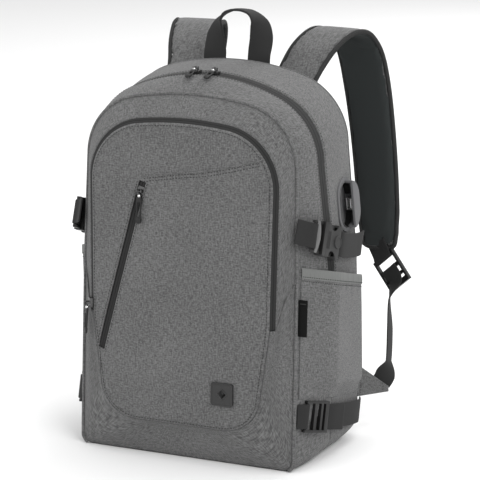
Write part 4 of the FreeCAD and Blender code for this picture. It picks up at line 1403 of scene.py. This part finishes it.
@dataclass(frozen=True)
class SidePocket:
    """Bottle pocket on each side with its elastic hem."""

    depth: float = 10.6
    mouth: tuple[float, float] = (236.0, 199.0)     # heights at the front and at the rear
    foot: tuple[float, float] = (84.0, 53.0)
    hem: float = 12.0
    seam_in: float = 3.0
    rest: float = 2.3               # clear of the cloth behind it

    def skin(self, a: float, b: float, lift: float = 0.0) -> Vector:
        """Point on the pocket.

        Args:
            a: share from the front seam to the rear one.
            b: share from the foot to the mouth.
            lift: distance off the cloth.

        Returns:
            The point.
        """
        low = self.foot[0] + (self.foot[1] - self.foot[0]) * a
        high = self.mouth[0] + (self.mouth[1] - self.mouth[0]) * a
        z = low + (high - low) * b
        front, rear = PIPED.y_at(z) + self.seam_in, REAR.y_at(z) - self.seam_in
        y = front + (rear - front) * a
        stand = ease(a / 0.34) * (1 - ease((a - 0.93) / 0.07) * 0.9) * ease(b / 0.16)
        gathers = 0.35 * math.sin(a * 46) * ease((b - 0.72) / 0.2)
        waves = 0.5 * math.sin(a * 17 + 1) * ease(1 - b / 0.25)
        off = self.rest + (self.depth - 1.4) * stand + (gathers + waves) * ease(a * 6)
        return Vector((side_x(y, z) + off + lift, y, z))

    def build(self) -> None:
        """Pocket, hem and stitching on both sides."""
        for name, side in SIDES.items():
            hem_b = 1 - self.hem / (self.mouth[0] - self.foot[0])
            bm = bent_grid(70, 60, lambda u, v: self.skin(u, v * hem_b))
            self.finish("bottle_pocket_" + name, bm, side, Finish.SIDE, "grey_heather_side",
                        "side_pocket_" + name, 1.5)
            rows = ((hem_b - 0.006, -0.4), (hem_b, 0.5), (hem_b + 0.015, 0.9), (0.99, 0.9), (1.0, 0.3),
                    (1.003, -0.6), (0.995, -1.6))
            last = len(rows) - 1

            def band_point(u: float, v: float) -> Vector:
                """Point on the elastic."""
                b, lift = sample(rows, v * last)
                return self.skin(u, b, lift + 0.18 * math.sin(u * 190))

            bm = bent_grid(220, last, band_point)
            self.finish("elastic_hem_" + name, bm, side, Finish.HEM, "elastic_hem",
                        "pocket_hem_" + name, 0.9)
            bm = bmesh.new()
            for b in (hem_b + 0.012, hem_b - 0.02):
                off = 1.0 if b > hem_b else 0.2
                line = [self.skin(0.01 + 0.97 * i / 60, b, off) for i in range(61)]
                stitch_row(bm, line, side_out, pitch=3.2, length=2.3)
            flip_side(bm, side)
            piece("hem_stitching_" + name, bm, Finish.THREAD, "bag")

    def finish(self, name: str, bm: BMesh, side: int, finish: Finish, slot: str, node: str,
               wall: float) -> None:
        """Turn a right-hand sheet into the piece for one side.

        Args:
            name: the piece.
            bm: the sheet.
            side: 1 for the right, -1 for the left.
            finish: its look.
            slot: not used.
            node: the frame node it takes the place of.
            wall: its thickness.
        """
        face_out(bm, Vector((60.0, 0.0, 150.0)))
        flip_side(bm, side)
        piece(name, bm, finish, "bag", [node], Rounding(thickness=wall, levels=1))


@dataclass(frozen=True)
class SideLabel:
    """Blank folded label sewn in behind the piping."""

    size: tuple[float, float, float] = (11.0, 1.4, 42.0)

    def build(self) -> None:
        """The label and its two plain stripes."""
        low, high = (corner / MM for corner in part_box("side_label"))
        middle = (low + high) / 2
        turn = Matrix.Rotation(math.radians(-PIPED.tilt), 4, "X")
        bm = bmesh.new()
        scale = Matrix.Diagonal((*self.size, 1.0))
        bmesh.ops.create_cube(bm, size=1.0, matrix=Matrix.Translation(middle) @ turn @ scale)
        bmesh.ops.bevel(bm, geom=list(bm.edges), offset=0.45, segments=3, **ROUND_EDGES)
        give_flat(bm)
        piece("woven_label", bm, Finish.LABEL, "bag", ["side_label"])
        bm = bmesh.new()
        for lift in (-17.0, 17.0):
            at = Matrix.Translation(middle + Vector((0.6, -self.size[1] / 2, lift)))
            bmesh.ops.create_cube(bm, size=1.0, matrix=at @ Matrix.Diagonal((7.4, 0.3, 1.2, 1.0)))
        bmesh.ops.bevel(bm, geom=list(bm.edges), offset=0.12, segments=2, **ROUND_EDGES)
        give_flat(bm)
        piece("label_stripes", bm, Finish.BINDING, "bag")


def give_flat(bm: BMesh) -> None:
    """Give a hard piece cloth coordinates from its own place.

    Args:
        bm: the mesh.
    """
    flat = bm.verts.layers.float_vector.get("cloth") or bm.verts.layers.float_vector.new("cloth")
    for vert in bm.verts:
        vert[flat] = Vector((vert.co.z, vert.co.x + vert.co.y, 0.0))


# ---- Side straps ---------------------------------------------------------------------------------


@dataclass(frozen=True)
class Lay:
    """Where a piece of strap hardware lies: its bar, the way it runs and the way it faces."""

    start: Vector
    run: Vector
    facing: Vector = Vector((1.0, 0.0, 0.0))

    def axes(self) -> tuple[Vector, Vector, Vector]:
        """The hardware's own axes.

        Returns:
            Run, width direction and outward normal.
        """
        run = self.run.normalized()
        normal = (self.facing - run * self.facing.dot(run)).normalized()
        return run, normal.cross(run), normal

    def at(self, x: float, z: float = 0.0, y: float = 0.0) -> Vector:
        """Point beside the bar.

        Args:
            x: distance along the run.
            z: distance outwards.
            y: distance across.

        Returns:
            The point.
        """
        run, wide, normal = self.axes()
        return self.start + run * x + normal * z + wide * y

    def trail(self, *spots: tuple[float, float]) -> list[Vector]:
        """Points at places given as along and outwards."""
        return [self.at(x, z) for x, z in spots]

    def matrix(self) -> Matrix:
        """Turn and shift of the hardware.

        Returns:
            The matrix from its own axes.
        """
        turn = Matrix(self.axes()).transposed().to_4x4()
        turn.translation = self.start
        return turn


WEB_W = 28.0
WEB_T = 1.8


def webbing(name: str, points: Sequence[Vector], across: Vector | Sequence[Vector], side: int,
            body: str = "bag", replaces: Iterable[str] = (), width: float | Sequence[float] = WEB_W,
            count: int = 48) -> Object:
    """Black webbing.

    Args:
        name: the piece.
        points: its middle line on the right-hand side.
        across: its width direction, one or one for each point.
        side: 1 for the right, -1 for the left.
        body: what it rides on.
        replaces: frame nodes it takes the place of.
        width: one width, or one for each point.
        count: steps along it.

    Returns:
        The piece.
    """
    bm = band(points, width, WEB_T, across, count=count, around=20, square=0.12)
    flip_side(bm, side)
    return piece(name, bm, Finish.WEBBING, body, replaces)


@dataclass(frozen=True)
class UpperStrap:
    """Compression strap with a side-release buckle."""

    sew: Vector = Vector((134.8, -76.0, 279.0))
    lay: Lay = Lay(Vector((148.0, -61.0, 272.0)), Vector((10.0, 56.0, -21.0)))
    rear: tuple[Vector, ...] = (Vector((159.5, 38.0, 241.0)), Vector((157.5, 62.0, 238.0)),
                                Vector((150.1, 71.5, 237.0)))
    tail: float = 56.0
    loop: float = 3.0

    def bow(self, side: int) -> BMesh:
        """Domed crescent over the plug's webbing frame, finished light grey as a painted highlight on its
        dome.

        Args:
            side: 1 for the right, -1 for the left.

        Returns:
            The mesh.
        """
        def place(u: float, v: float) -> Vector:
            """Point on the crescent.

            Args:
                u: share across the strap.
                v: share along it.

            Returns:
                The point.
            """
            off = (2 * u - 1) ** 2
            edge = 4.5 * (1 - off)
            x = 2.0 + (v - 0.5) * (5.0 + edge) + edge * 0.75
            return self.lay.at(x, 3.0 + 1.6 * math.sin(math.pi * v) * (1 - 0.4 * off), (u - 0.5) * 36.0)

        bm = bent_grid(24, 10, place)
        face_out(bm, self.lay.at(2.0, -30.0))
        flip_side(bm, side)
        return bm

    def build(self) -> None:
        """Webbing and buckle on both sides."""
        run, wide, normal = self.lay.axes()
        r = self.loop
        for name, side in SIDES.items():
            ahead = [self.sew - run * 3, self.sew.lerp(self.lay.start, 0.5) + normal * 1.4,
                     *self.lay.trail((-3.4, 2.4), (0.0, r), (r, 0.0), (0.0, -r), (-7.0, -2.2))]
            webbing("upper_webbing_front_" + name, ahead, wide, side,
                    replaces=["upper_strap_front_" + name])
            back = self.lay.trail((self.tail + 9, -2.8), (self.tail, -r), (self.tail - r, 0.0),
                                  (self.tail, r), (self.tail + 12, 2.0))
            webbing("upper_webbing_rear_" + name, [*back, *self.rear], wide, side,
                    replaces=["upper_strap_rear_" + name], count=64)
            parts = (("buckle_plug", "bag", Finish.LATCH, 0.6),
                     ("buckle_socket", "bag", Finish.PLASTIC, 0.9),
                     ("buckle_prong_upper", None, Finish.LATCH, 0.6),
                     ("buckle_prong_lower", None, Finish.LATCH, 0.6))
            for part, body, finish, edge in parts:
                node = part + "_" + name
                softened(node, part + "_moulding_" + name, finish, body or node, edge)
            # the crescent's light grey finish is a painted highlight
            piece("buckle_bow_" + name, self.bow(side), Finish.BOW, "bag", (),
                  Rounding(thickness=1.4, levels=1))
            bm = bmesh.new()
            self.boss(bm)
            flip_side(bm, side)
            piece("buckle_boss_" + name, bm, Finish.PLASTIC, "bag", (),
                  Rounding(bevel=0.3))

    def boss(self, bm: BMesh) -> None:
        """Round thumb boss with a raised ring, and grip ribs.

        Args:
            bm: the mesh that gets them.
        """
        base = self.lay.matrix() @ Matrix.Translation((42.9, 0.0, 6.3))
        bmesh.ops.create_cone(bm, cap_ends=True, segments=48, radius1=7.4, radius2=6.9, depth=1.8,
                              matrix=base)
        normal = self.lay.axes()[2]
        top = [max(bm.faces, key=lambda f: (f.calc_center_median() - self.lay.start).dot(normal))]
        bmesh.ops.inset_region(bm, faces=top, thickness=1.2, depth=0.0)
        bmesh.ops.inset_region(bm, faces=top, thickness=0.5, depth=-0.6)
        for x in (22.5, 24.7, 26.9):
            at = self.lay.matrix() @ Matrix.Translation((x, 0.0, 5.6))
            bmesh.ops.create_cube(bm, size=1.0, matrix=at @ Matrix.Diagonal((1.0, 20.0, 0.9, 1.0)))


@dataclass(frozen=True)
class LowerStrap:
    """Base strap with a ladder lock and its loose tail."""

    sew: Vector = Vector((136.2, -75.2, 64.6))
    lay: Lay = Lay(Vector((142.0, -66.0, 63.0)), Vector((14.0, 49.0, -13.0)))
    rear: tuple[Vector, ...] = (Vector((156.0, 30.0, 40.0)), Vector((155.5, 63.0, 34.0)),
                                Vector((149.4, 80.0, 31.5)))
    loop: float = 3.0

    def build(self) -> None:
        """Webbing and lock on both sides."""
        run, wide, _ = self.lay.axes()
        r = self.loop
        for name, side in SIDES.items():
            ahead = [self.sew - run * 2,
                     *self.lay.trail((-4.6, 2.0), (0.0, r), (r, 0.0), (0.0, -r), (-4.6, -2.4))]
            webbing("lower_webbing_front_" + name, ahead, wide, side,
                    replaces=["lower_strap_front_" + name])
            back = [*self.lay.trail((18.0, -3.9), (42.0, -3.9)), *self.rear]
            webbing("lower_webbing_rear_" + name, back, wide, side,
                    replaces=["lower_strap_rear_" + name], count=64)
            lock = "lower_ladder_lock_" + name
            softened(lock, "ladder_lock_" + name, Finish.LATCH, lock, 0.9)
            over = self.lay.trail((44.0, -1.6), (54.0, -0.9), (66.0, -1.4), (74.0, -1.9))
            webbing("lower_webbing_keeper_" + name, over, wide, side, width=WEB_W + 1.6, count=20)


# ---- Shoulder straps -----------------------------------------------------------------------------


@dataclass(frozen=True)
class ShoulderStrap:
    """Padded strap with a mesh inside, bound edges, an adjuster, webbing and its tab."""

    route: tuple[tuple[float, float, float], ...] = (
        (68.0, 63.7, 400.0), (68.0, 63.3, 407.0), (70.0, 83.0, 430.0), (78.0, 108.0, 455.0),
        (87.0, 140.0, 469.0), (95.0, 170.0, 465.0), (104.0, 188.0, 440.0), (113.0, 190.0, 400.0),
        (122.0, 186.0, 350.0), (130.0, 180.0, 295.0), (136.0, 173.0, 248.0), (140.0, 168.0, 216.0),
        (141.5, 166.5, 206.0))
    widths: tuple[float, ...] = (50.0, 50.0, 54.0, 58.0, 60.0, 60.0, 60.0, 60.0, 58.0, 56.0, 54.0, 46.0,
                                 32.0)
    across: Vector = Vector((1.0, -0.12, 0.0))
    thickness: float = 9.0
    along: int = 90              # steps along the pad
    hem: int = 260               # steps round the bound edge
    bar: Vector = Vector((147.2, 165.5, 195.4))
    adjuster: Lay = Lay(Vector((147.2, 165.5, 195.4)), Vector((20.8, -5.5, -25.4)),
                        Vector((0.35, 1.0, 0.0)))
    webbing_way: tuple[Vector, ...] = (Vector((160.0, 151.0, 150.0)), Vector((163.0, 146.0, 112.0)),
                                       Vector((165.0, 138.0, 76.0)), Vector((163.5, 131.0, 60.0)))
    tab_across: Vector = Vector((0.75, 0.3, -0.8))
    edge_on: Vector = Vector((-0.1, 0.99, 0.0))
    arch_middle: Vector = Vector((100.0, 115.0, 330.0))

    def line(self) -> list[Vector]:
        """The strap's middle line."""
        return [Vector(point) for point in self.route]

    def pad(self, name: str, side: int) -> None:
        """Stuffed pad, and the mesh on its inner face.

        Args:
            name: right or left.
            side: 1 or -1.
        """
        body = "shoulder_strap_" + name
        bm = band(self.line(), [width - 0.6 for width in self.widths], self.thickness - 1.2,
                  self.across, count=self.along, around=24, square=0.42)
        flip_side(bm, side)
        bmesh.ops.recalc_face_normals(bm, faces=bm.faces)
        made = piece("strap_pad_" + name, bm, Finish.STRAP, body, ["shoulder_pad_" + name])
        inflate(made, 1.1, 4.5)
        lining = bmesh.new()
        lining.from_mesh(made.data)
        middle = self.arch_middle.copy()
        middle.x *= side
        outer = [face for face in lining.faces if self.faces_out(face, middle * MM)]
        bmesh.ops.delete(lining, geom=outer, context="FACES")
        for vert in lining.verts:
            vert.co += vert.normal * 0.5 * MM
        piece("strap_mesh_" + name, lining, Finish.MESH, body, (), Rounding(), unit=1.0)

    @staticmethod
    def faces_out(face: bmesh.types.BMFace, middle: Vector) -> bool:
        """Whether a face of the pad belongs to its outer or edge cloth.

        Args:
            face: the face.
            middle: middle of the arch that the strap makes.

        Returns:
            True outside.
        """
        where = face.calc_center_median()
        fall = max(0.0, middle.z - where.z - 0.02) - max(0.0, where.z - middle.z)
        inward = Vector((0.0, middle.y - where.y, fall))
        return face.normal.dot(inward.normalized()) < 0.35

    def binding(self, name: str, side: int) -> None:
        """Bound edge round the pad.

        Args:
            name: right or left.
            side: 1 or -1.
        """
        frames = lay_out(self.line(), list(self.widths), self.across, self.along)
        line = [point + wide * (size / 2 - 1.0) for point, wide, _, size in frames]
        end = Vector(self.route[-1]) + Vector((0.8, -0.8, -5.0))
        line += [end] + [point - wide * (size / 2 - 1.0) for point, wide, _, size in frames[::-1]]
        line = smooth_route(line[::3], self.hem)
        facing = [thick for *_, thick, _ in frames]

        def place(u: float, v: float) -> Vector:
            """Point on the rolled edge.

            Args:
                u: share round the pad.
                v: share round the roll.

            Returns:
                The point.
            """
            k = round(u * self.hem)
            run = (line[min(k + 1, self.hem)] - line[max(k - 1, 0)]).normalized()
            thick = facing[min(self.along, round(min(u, 1 - u) * 2 * self.along))]
            thick = (thick - run * thick.dot(run)).normalized()
            angle = 2 * math.pi * v
            return line[k] + run.cross(thick) * 2.5 * math.cos(angle) + thick * 3.0 * math.sin(angle)

        bm = bent_grid(self.hem, 10, place, wrap_across=True)
        cap_ends(bm)
        face_out(bm)
        flip_side(bm, side)
        piece("strap_binding_" + name, bm, Finish.BINDING, "shoulder_strap_" + name)

    def fittings(self, name: str, side: int) -> None:
        """Adjuster, its sewn loop, the webbing below it and the tab.

        Args:
            name: right or left.
            side: 1 or -1.
        """
        body = "shoulder_strap_" + name
        run, wide, normal = self.adjuster.axes()
        end = Vector(self.route[-1])
        loop = [end - run * 10, end.lerp(self.bar, 0.6) + normal * 2.4,
                *self.adjuster.trail((0.0, 3.0), (3.0, 0.0), (0.0, -3.0)),
                end.lerp(self.bar, 0.5) - normal * 2.6, end - run * 8 - normal * 1.0]
        webbing("adjuster_loop_" + name, loop, wide, side, body)
        adjuster = "strap_adjuster_" + name
        softened(adjuster, "adjuster_moulding_" + name, Finish.LATCH, adjuster, 0.9)
        points = [*self.adjuster.trail((14.0, -4.0), (31.0, -6.0)), *self.webbing_way,
                  Vector((160.0, 126.0, 51.0))]
        across = [wide, wide, self.edge_on.lerp(wide, 0.25), self.edge_on, self.edge_on,
                  *[self.tab_across] * 2]
        size = [25.0, 25.0, 25.0, 24.0, 25.0, 25.0, 24.0]
        bm = band(points, size, WEB_T, across, count=80, around=20, square=0.12)
        flip_side(bm, side)
        made = piece("strap_webbing_" + name + "_woven", bm, Finish.WEBBING, "bag",
                     ["strap_webbing_" + name])
        made.parent = None
        low, high = points[-1] * MM, points[0] * MM
        for end_point in (low, high):
            end_point.x *= side
        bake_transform(made)
        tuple(low)
        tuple(high)
        self.tab(name, side)

    def tab(self, name: str, side: int) -> None:
        """Grey triangular tab that the webbing is sewn into.

        Args:
            name: right or left.
            side: 1 or -1.
        """
        x = REAR.foot_half - 3.0
        top, foot = Vector((x, REAR.y_at(86.0) + 1.6, 87.0)), Vector((x, REAR.y_at(46.0) + 1.6, 45.0))
        tip, tip_low = Vector((168.0, 128.5, 47.6)), Vector((168.0, 129.0, 40.6))

        def place(u: float, v: float) -> Vector:
            """Point on the tab."""
            return top.lerp(foot, v).lerp(tip.lerp(tip_low, v), u)

        bm = bent_grid(24, 16, place)
        face_out(bm, Vector((170.0, 60.0, 60.0)))
        flip_side(bm, side)
        piece("strap_tab_cloth_" + name, bm, Finish.STRAP, "bag", ["strap_tab_" + name],
              Rounding(thickness=2.4, offset=0.0, bevel=0.5))
        bm = bmesh.new()
        normal = (tip - top).cross(foot - top).normalized()
        for u in (0.12, 0.82):
            for face in (1, -1):
                line = [place(u, v) + normal * face * 1.4 for v in (0.06, 0.35, 0.65, 0.94)]
                stitch_row(bm, line, lambda p: normal * face, pitch=3.0, length=2.2)
        flip_side(bm, side)
        piece("tab_stitching_" + name, bm, Finish.THREAD, "bag")

    def build(self) -> None:
        """Both straps."""
        for name, side in SIDES.items():
            self.pad(name, side)
            self.binding(name, side)
            self.fittings(name, side)


@dataclass(frozen=True)
class GrabHandle:
    """Webbing loop that narrows and turns on edge at its top."""

    half: tuple[tuple[float, float, float, tuple[float, float, float]], ...] = (
        (28.0, 60.3, 426.0, (1.0, 0.0, 0.0)), (28.0, 59.6, 434.0, (1.0, 0.0, 0.0)),
        (28.0, 61.3, 450.0, (1.0, 0.0, 0.0)), (29.0, 65.3, 470.0, (0.9, 0.4, 0.0)),
        (24.0, 68.3, 488.0, (0.6, 0.7, -0.4)), (11.0, 69.3, 498.0, (0.2, 0.98, -0.1)))
    widths: tuple[float, ...] = (28.0, 28.0, 28.0, 27.0, 24.0, 22.0)

    def build(self) -> None:
        """The loop."""
        left = [Vector((-x, y, z)) for x, y, z, _ in self.half]
        turned = [Vector((w[0], -w[1], -w[2])) for *_, w in self.half]
        right = [Vector((-p.x, p.y, p.z)) for p in left[::-1]]
        across = turned + [Vector((-w.x, w.y, w.z)) for w in turned[::-1]]
        bm = band(left + right, [*self.widths, *self.widths[::-1]], 3.0, across, count=110, around=24,
                  square=0.14)
        piece("handle_webbing", bm, Finish.WEBBING, "grab_handle", ["grab_handle"])


# ---- Charging port -------------------------------------------------------------------------------


@dataclass(frozen=True)
class ChargingPort:
    """Oval bezel with a hood over a forward-facing socket."""

    centre: Vector = Vector((145.9, 35.0, 288.0))
    normal: Vector = Vector((0.995, 0.0, 0.1))
    half: tuple[float, float] = (16.0, 9.5)         # inner oval: radius and half straight
    depth: float = 4.8

    def oval(self, u: float, grow: float, lift: float) -> Vector:
        """Point on an oval round the port.

        Args:
            u: share round it.
            grow: distance outside the inner oval.
            lift: distance off the cloth.

        Returns:
            The point.
        """
        radius, straight = self.half[0] + grow, self.half[1]
        angle = 2 * math.pi * u
        y, z = radius * math.cos(angle), radius * math.sin(angle)
        up = self.normal.normalized().cross(Vector((0.0, 1.0, 0.0)))
        z += math.copysign(straight, z)
        return self.centre + self.normal.normalized() * lift + Vector((0.0, 1.0, 0.0)) * y + up * z

    def build(self) -> None:
        """Bezel, recess lining painted near black as shade, bright trim and socket."""
        softened("usb_bezel", "port_bezel", Finish.PORT, "bag", 0.9)
        softened("usb_socket", "socket_shell", Finish.BRIGHT, "bag", 0.25)
        softened("usb_tongue", "socket_tongue_piece", Finish.TONGUE, "bag", 0.15)
        bm = bent_grid(72, 8, lambda u, v: self.oval(u, -0.25, 2.4 - v * (2.4 + self.depth)),
                       wrap_along=True)
        low = [e for e in bm.edges if e.is_boundary and
               (sum((v.co for v in e.verts), Vector()) / 2 - self.centre).dot(self.normal) < 0]
        bmesh.ops.holes_fill(bm, edges=low, sides=0)
        bmesh.ops.recalc_face_normals(bm, faces=bm.faces)
        bmesh.ops.reverse_faces(bm, faces=bm.faces)
        # the near-black lining paints the shade inside the recess
        piece("port_recess_lining", bm, Finish.PORT_DARK, "bag")

        def trim(u: float, v: float) -> Vector:
            """Point on the trim ring."""
            angle = 2 * math.pi * v
            return self.oval(u, 0.4 + 0.7 * math.cos(angle), 2.7 + 0.7 * math.sin(angle))

        bm = bent_grid(96, 8, trim, wrap_along=True, wrap_across=True)
        face_out(bm)
        piece("port_trim", bm, Finish.NICKEL, "bag")


# ---- Sliders -------------------------------------------------------------------------------------


@dataclass(frozen=True)
class ZipRunner:
    """Slider and its corded puller."""

    name: str
    strand: float = 1.0          # radius of the cord
    gap: float = 2.3             # each strand from the middle
    lift: float = 3.5            # degrees off the cloth

    def build(self) -> None:
        """Slider body with its rounded edges, and the puller."""
        slider, puller = self.name + "_slider", self.name + "_puller"
        softened(slider, self.name + "_slider_casting", Finish.NICKEL, slider, 0.5)
        joint = next(joint for joint in frame["joints"] if joint["child"] == puller)
        pin, axis = Vector(joint["pos_m"]) / MM, Vector(joint["axis"]).normalized()
        tips = [vert.co / MM - pin for vert in frame["nodes"][puller].data.vertices]
        mean = sum(tips, Vector()) / len(tips)
        run = (mean - axis * mean.dot(axis)).normalized()
        run.rotate(Quaternion(axis, math.radians(self.lift)))
        reach = max(tip.dot(run) for tip in tips)
        up = axis.cross(run)
        turn = Matrix((run, axis, up)).transposed().to_4x4()
        turn.translation = pin
        bm = bmesh.new()
        self.eye(bm, turn)
        self.loop(bm, turn, reach)
        piece(self.name + "_cord_puller", bm, Finish.CORD, puller, [puller],
              Rounding(bevel=0.3))
        bm = bmesh.new()
        at = turn @ Matrix.Translation((5.2, 0.0, 0.0))
        bmesh.ops.create_uvsphere(bm, u_segments=20, v_segments=12, radius=2.1, matrix=at)
        piece(self.name + "_puller_ball", bm, Finish.BRIGHT, puller)

    def eye(self, bm: BMesh, turn: Matrix) -> None:
        """Ring round the pin, spun from a small circle, and its neck.

        Args:
            bm: the mesh that gets them.
            turn: from the puller's own axes.
        """
        at = Matrix.Translation((1.7, 0.0, 0.0)) @ Matrix.Rotation(math.pi / 2, 4, "X")
        made = bmesh.ops.create_circle(bm, segments=8, radius=0.5, matrix=at)
        edges = list({edge for vert in made["verts"] for edge in vert.link_edges})
        geom = made["verts"] + edges
        bmesh.ops.spin(bm, geom=geom, cent=(0.0, 0.0, 0.0), axis=(0.0, 1.0, 0.0), angle=2 * math.pi,
                       steps=24, use_merge=True, use_duplicate=False)
        bmesh.ops.remove_doubles(bm, verts=bm.verts, dist=1e-3)
        bmesh.ops.recalc_face_normals(bm, faces=bm.faces)
        bmesh.ops.transform(bm, matrix=turn, verts=bm.verts)
        neck = turn @ Matrix.Translation((4.4, 0.0, 0.0)) @ Matrix.Diagonal((5.2, 2.2, 1.5, 1.0))
        bmesh.ops.create_cube(bm, size=1.0, matrix=neck)

    def loop(self, bm: BMesh, turn: Matrix, reach: float) -> None:
        """Cord loop in two moulded sleeves.

        Args:
            bm: the mesh that gets it.
            turn: from the puller's own axes.
            reach: distance from the pin to the tip.
        """
        r, gap = self.strand, self.gap
        end = reach - gap - r
        half = ((6.0, gap * 0.5), (11.0, gap), (end, gap), (end + gap * 0.75, gap * 0.75))
        path = [*(Vector((x, -y, 0.0)) for x, y in half), Vector((end + gap, 0.0, 0.0)),
                *(Vector((x, y, 0.0)) for x, y in half[::-1])]
        cord = band(path, 2 * r, 2 * r, Vector((0.0, 0.0, 1.0)), count=60, around=10, square=1.0)
        bmesh.ops.transform(cord, matrix=turn, verts=cord.verts)
        add_mesh(bm, cord)
        for x, long, wide in ((9.5, 6.5, 6.2), (reach - 4.5, 6.0, 6.6)):
            sleeve = bmesh.new()
            at = turn @ Matrix.Translation((x, 0.0, 0.0)) @ Matrix.Diagonal((long, wide, 2.6, 1.0))
            bmesh.ops.create_cube(sleeve, size=1.0, matrix=at)
            bmesh.ops.bevel(sleeve, geom=list(sleeve.edges), offset=0.8, segments=3, **ROUND_EDGES)
            add_mesh(bm, sleeve)


LINED = ("front_wall", "front_organiser", "laptop_divider")


def dress_inside() -> None:
    """Give the frame nodes that still show the lining's look."""
    for name, node in frame["nodes"].items():
        if not node.hide_render:
            finish = Finish.LINING if name in LINED else Finish.PLASTIC
            LOG.info("frame node shown: %s", name)
            node.data.materials.clear()
            node.data.materials.append(finish.material())


# ---- Studio --------------------------------------------------------------------------------------


@dataclass(frozen=True)
class Studio:
    """Pale floor, soft lights and the camera, in metres."""

    azimuth: float = 24.045
    elevation: float = 13.645
    eye: tuple[float, float, float] = (1.0891, -2.3716, 0.8730)
    lens: float = 173.5

    def floor(self) -> None:
        """Pale flat floor."""
        bm = bmesh.new()
        bmesh.ops.create_grid(bm, x_segments=2, y_segments=2, size=12.0)
        mesh = bpy.data.meshes.new("floor")
        bm.to_mesh(mesh)
        bm.free()
        graph = Graph("pale_floor")
        graph.set(Base_Color=(0.86, 0.86, 0.86, 1.0), Roughness=0.85, Specular_IOR_Level=0.1)
        mesh.materials.append(graph.material)
        floor = bpy.data.objects.new("floor", mesh)
        bpy.context.scene.collection.objects.link(floor)

    def light(self, name: str, at: Sequence[float], size: float, power: float) -> None:
        """Square soft light aimed at the bag's middle.

        Args:
            name: the light.
            at: where it hangs.
            size: its side.
            power: in watts.
        """
        lamp = bpy.data.lights.new(name, "AREA")
        lamp.size, lamp.energy = size, power
        made = bpy.data.objects.new(name, lamp)
        made.location = at
        made.rotation_euler = (Vector((0.0, 0.0, 0.25)) - Vector(at)).to_track_quat("-Z", "Y").to_euler()
        bpy.context.scene.collection.objects.link(made)

    def build(self) -> None:
        """Floor, lights, sky and camera."""
        self.floor()
        self.light("key", (2.6, -1.8, 2.4), 2.0, 62.0)
        self.light("fill", (-2.2, -2.6, 1.6), 2.4, 40.0)
        self.light("top", (0.3, 0.6, 3.0), 2.4, 42.0)
        self.light("rear", (0.5, 3.0, 1.8), 2.4, 40.0)
        world = bpy.data.worlds.new("studio_air")
        bpy.context.scene.world = world
        world.use_nodes = True
        sky = world.node_tree.nodes["Background"]
        sky.inputs["Color"].default_value = (1.0, 1.0, 1.0, 1.0)
        sky.inputs["Strength"].default_value = 0.75
        a, e = math.radians(self.azimuth), math.radians(self.elevation)
        back = Vector((math.sin(a) * math.cos(e), -math.cos(a) * math.cos(e), math.sin(e)))
        lens = bpy.data.cameras.new("camera")
        lens.lens, lens.sensor_width = self.lens, 36.0
        camera = bpy.data.objects.new("camera", lens)
        camera.location = self.eye
        camera.rotation_mode = "QUATERNION"
        camera.rotation_quaternion = (-back).to_track_quat("-Z", "Y")
        bpy.context.scene.collection.objects.link(camera)
        bpy.context.scene.camera = camera
        bpy.context.scene.view_settings.view_transform = "Standard"


def main() -> None:
    """Build the studio and each sub-assembly in order."""
    logging.basicConfig(level=logging.INFO, format="%(message)s")
    Studio().build()
    BagShell().build()
    FrontPocket().build()
    SidePocket().build()
    SideLabel().build()
    UpperStrap().build()
    LowerStrap().build()
    ShoulderStrap().build()
    GrabHandle().build()
    ChargingPort().build()
    for name in ("main_left", "main_right", "front", "diagonal"):
        ZipRunner(name).build()
    dress_inside()


if __name__ == "__main__":
    main()
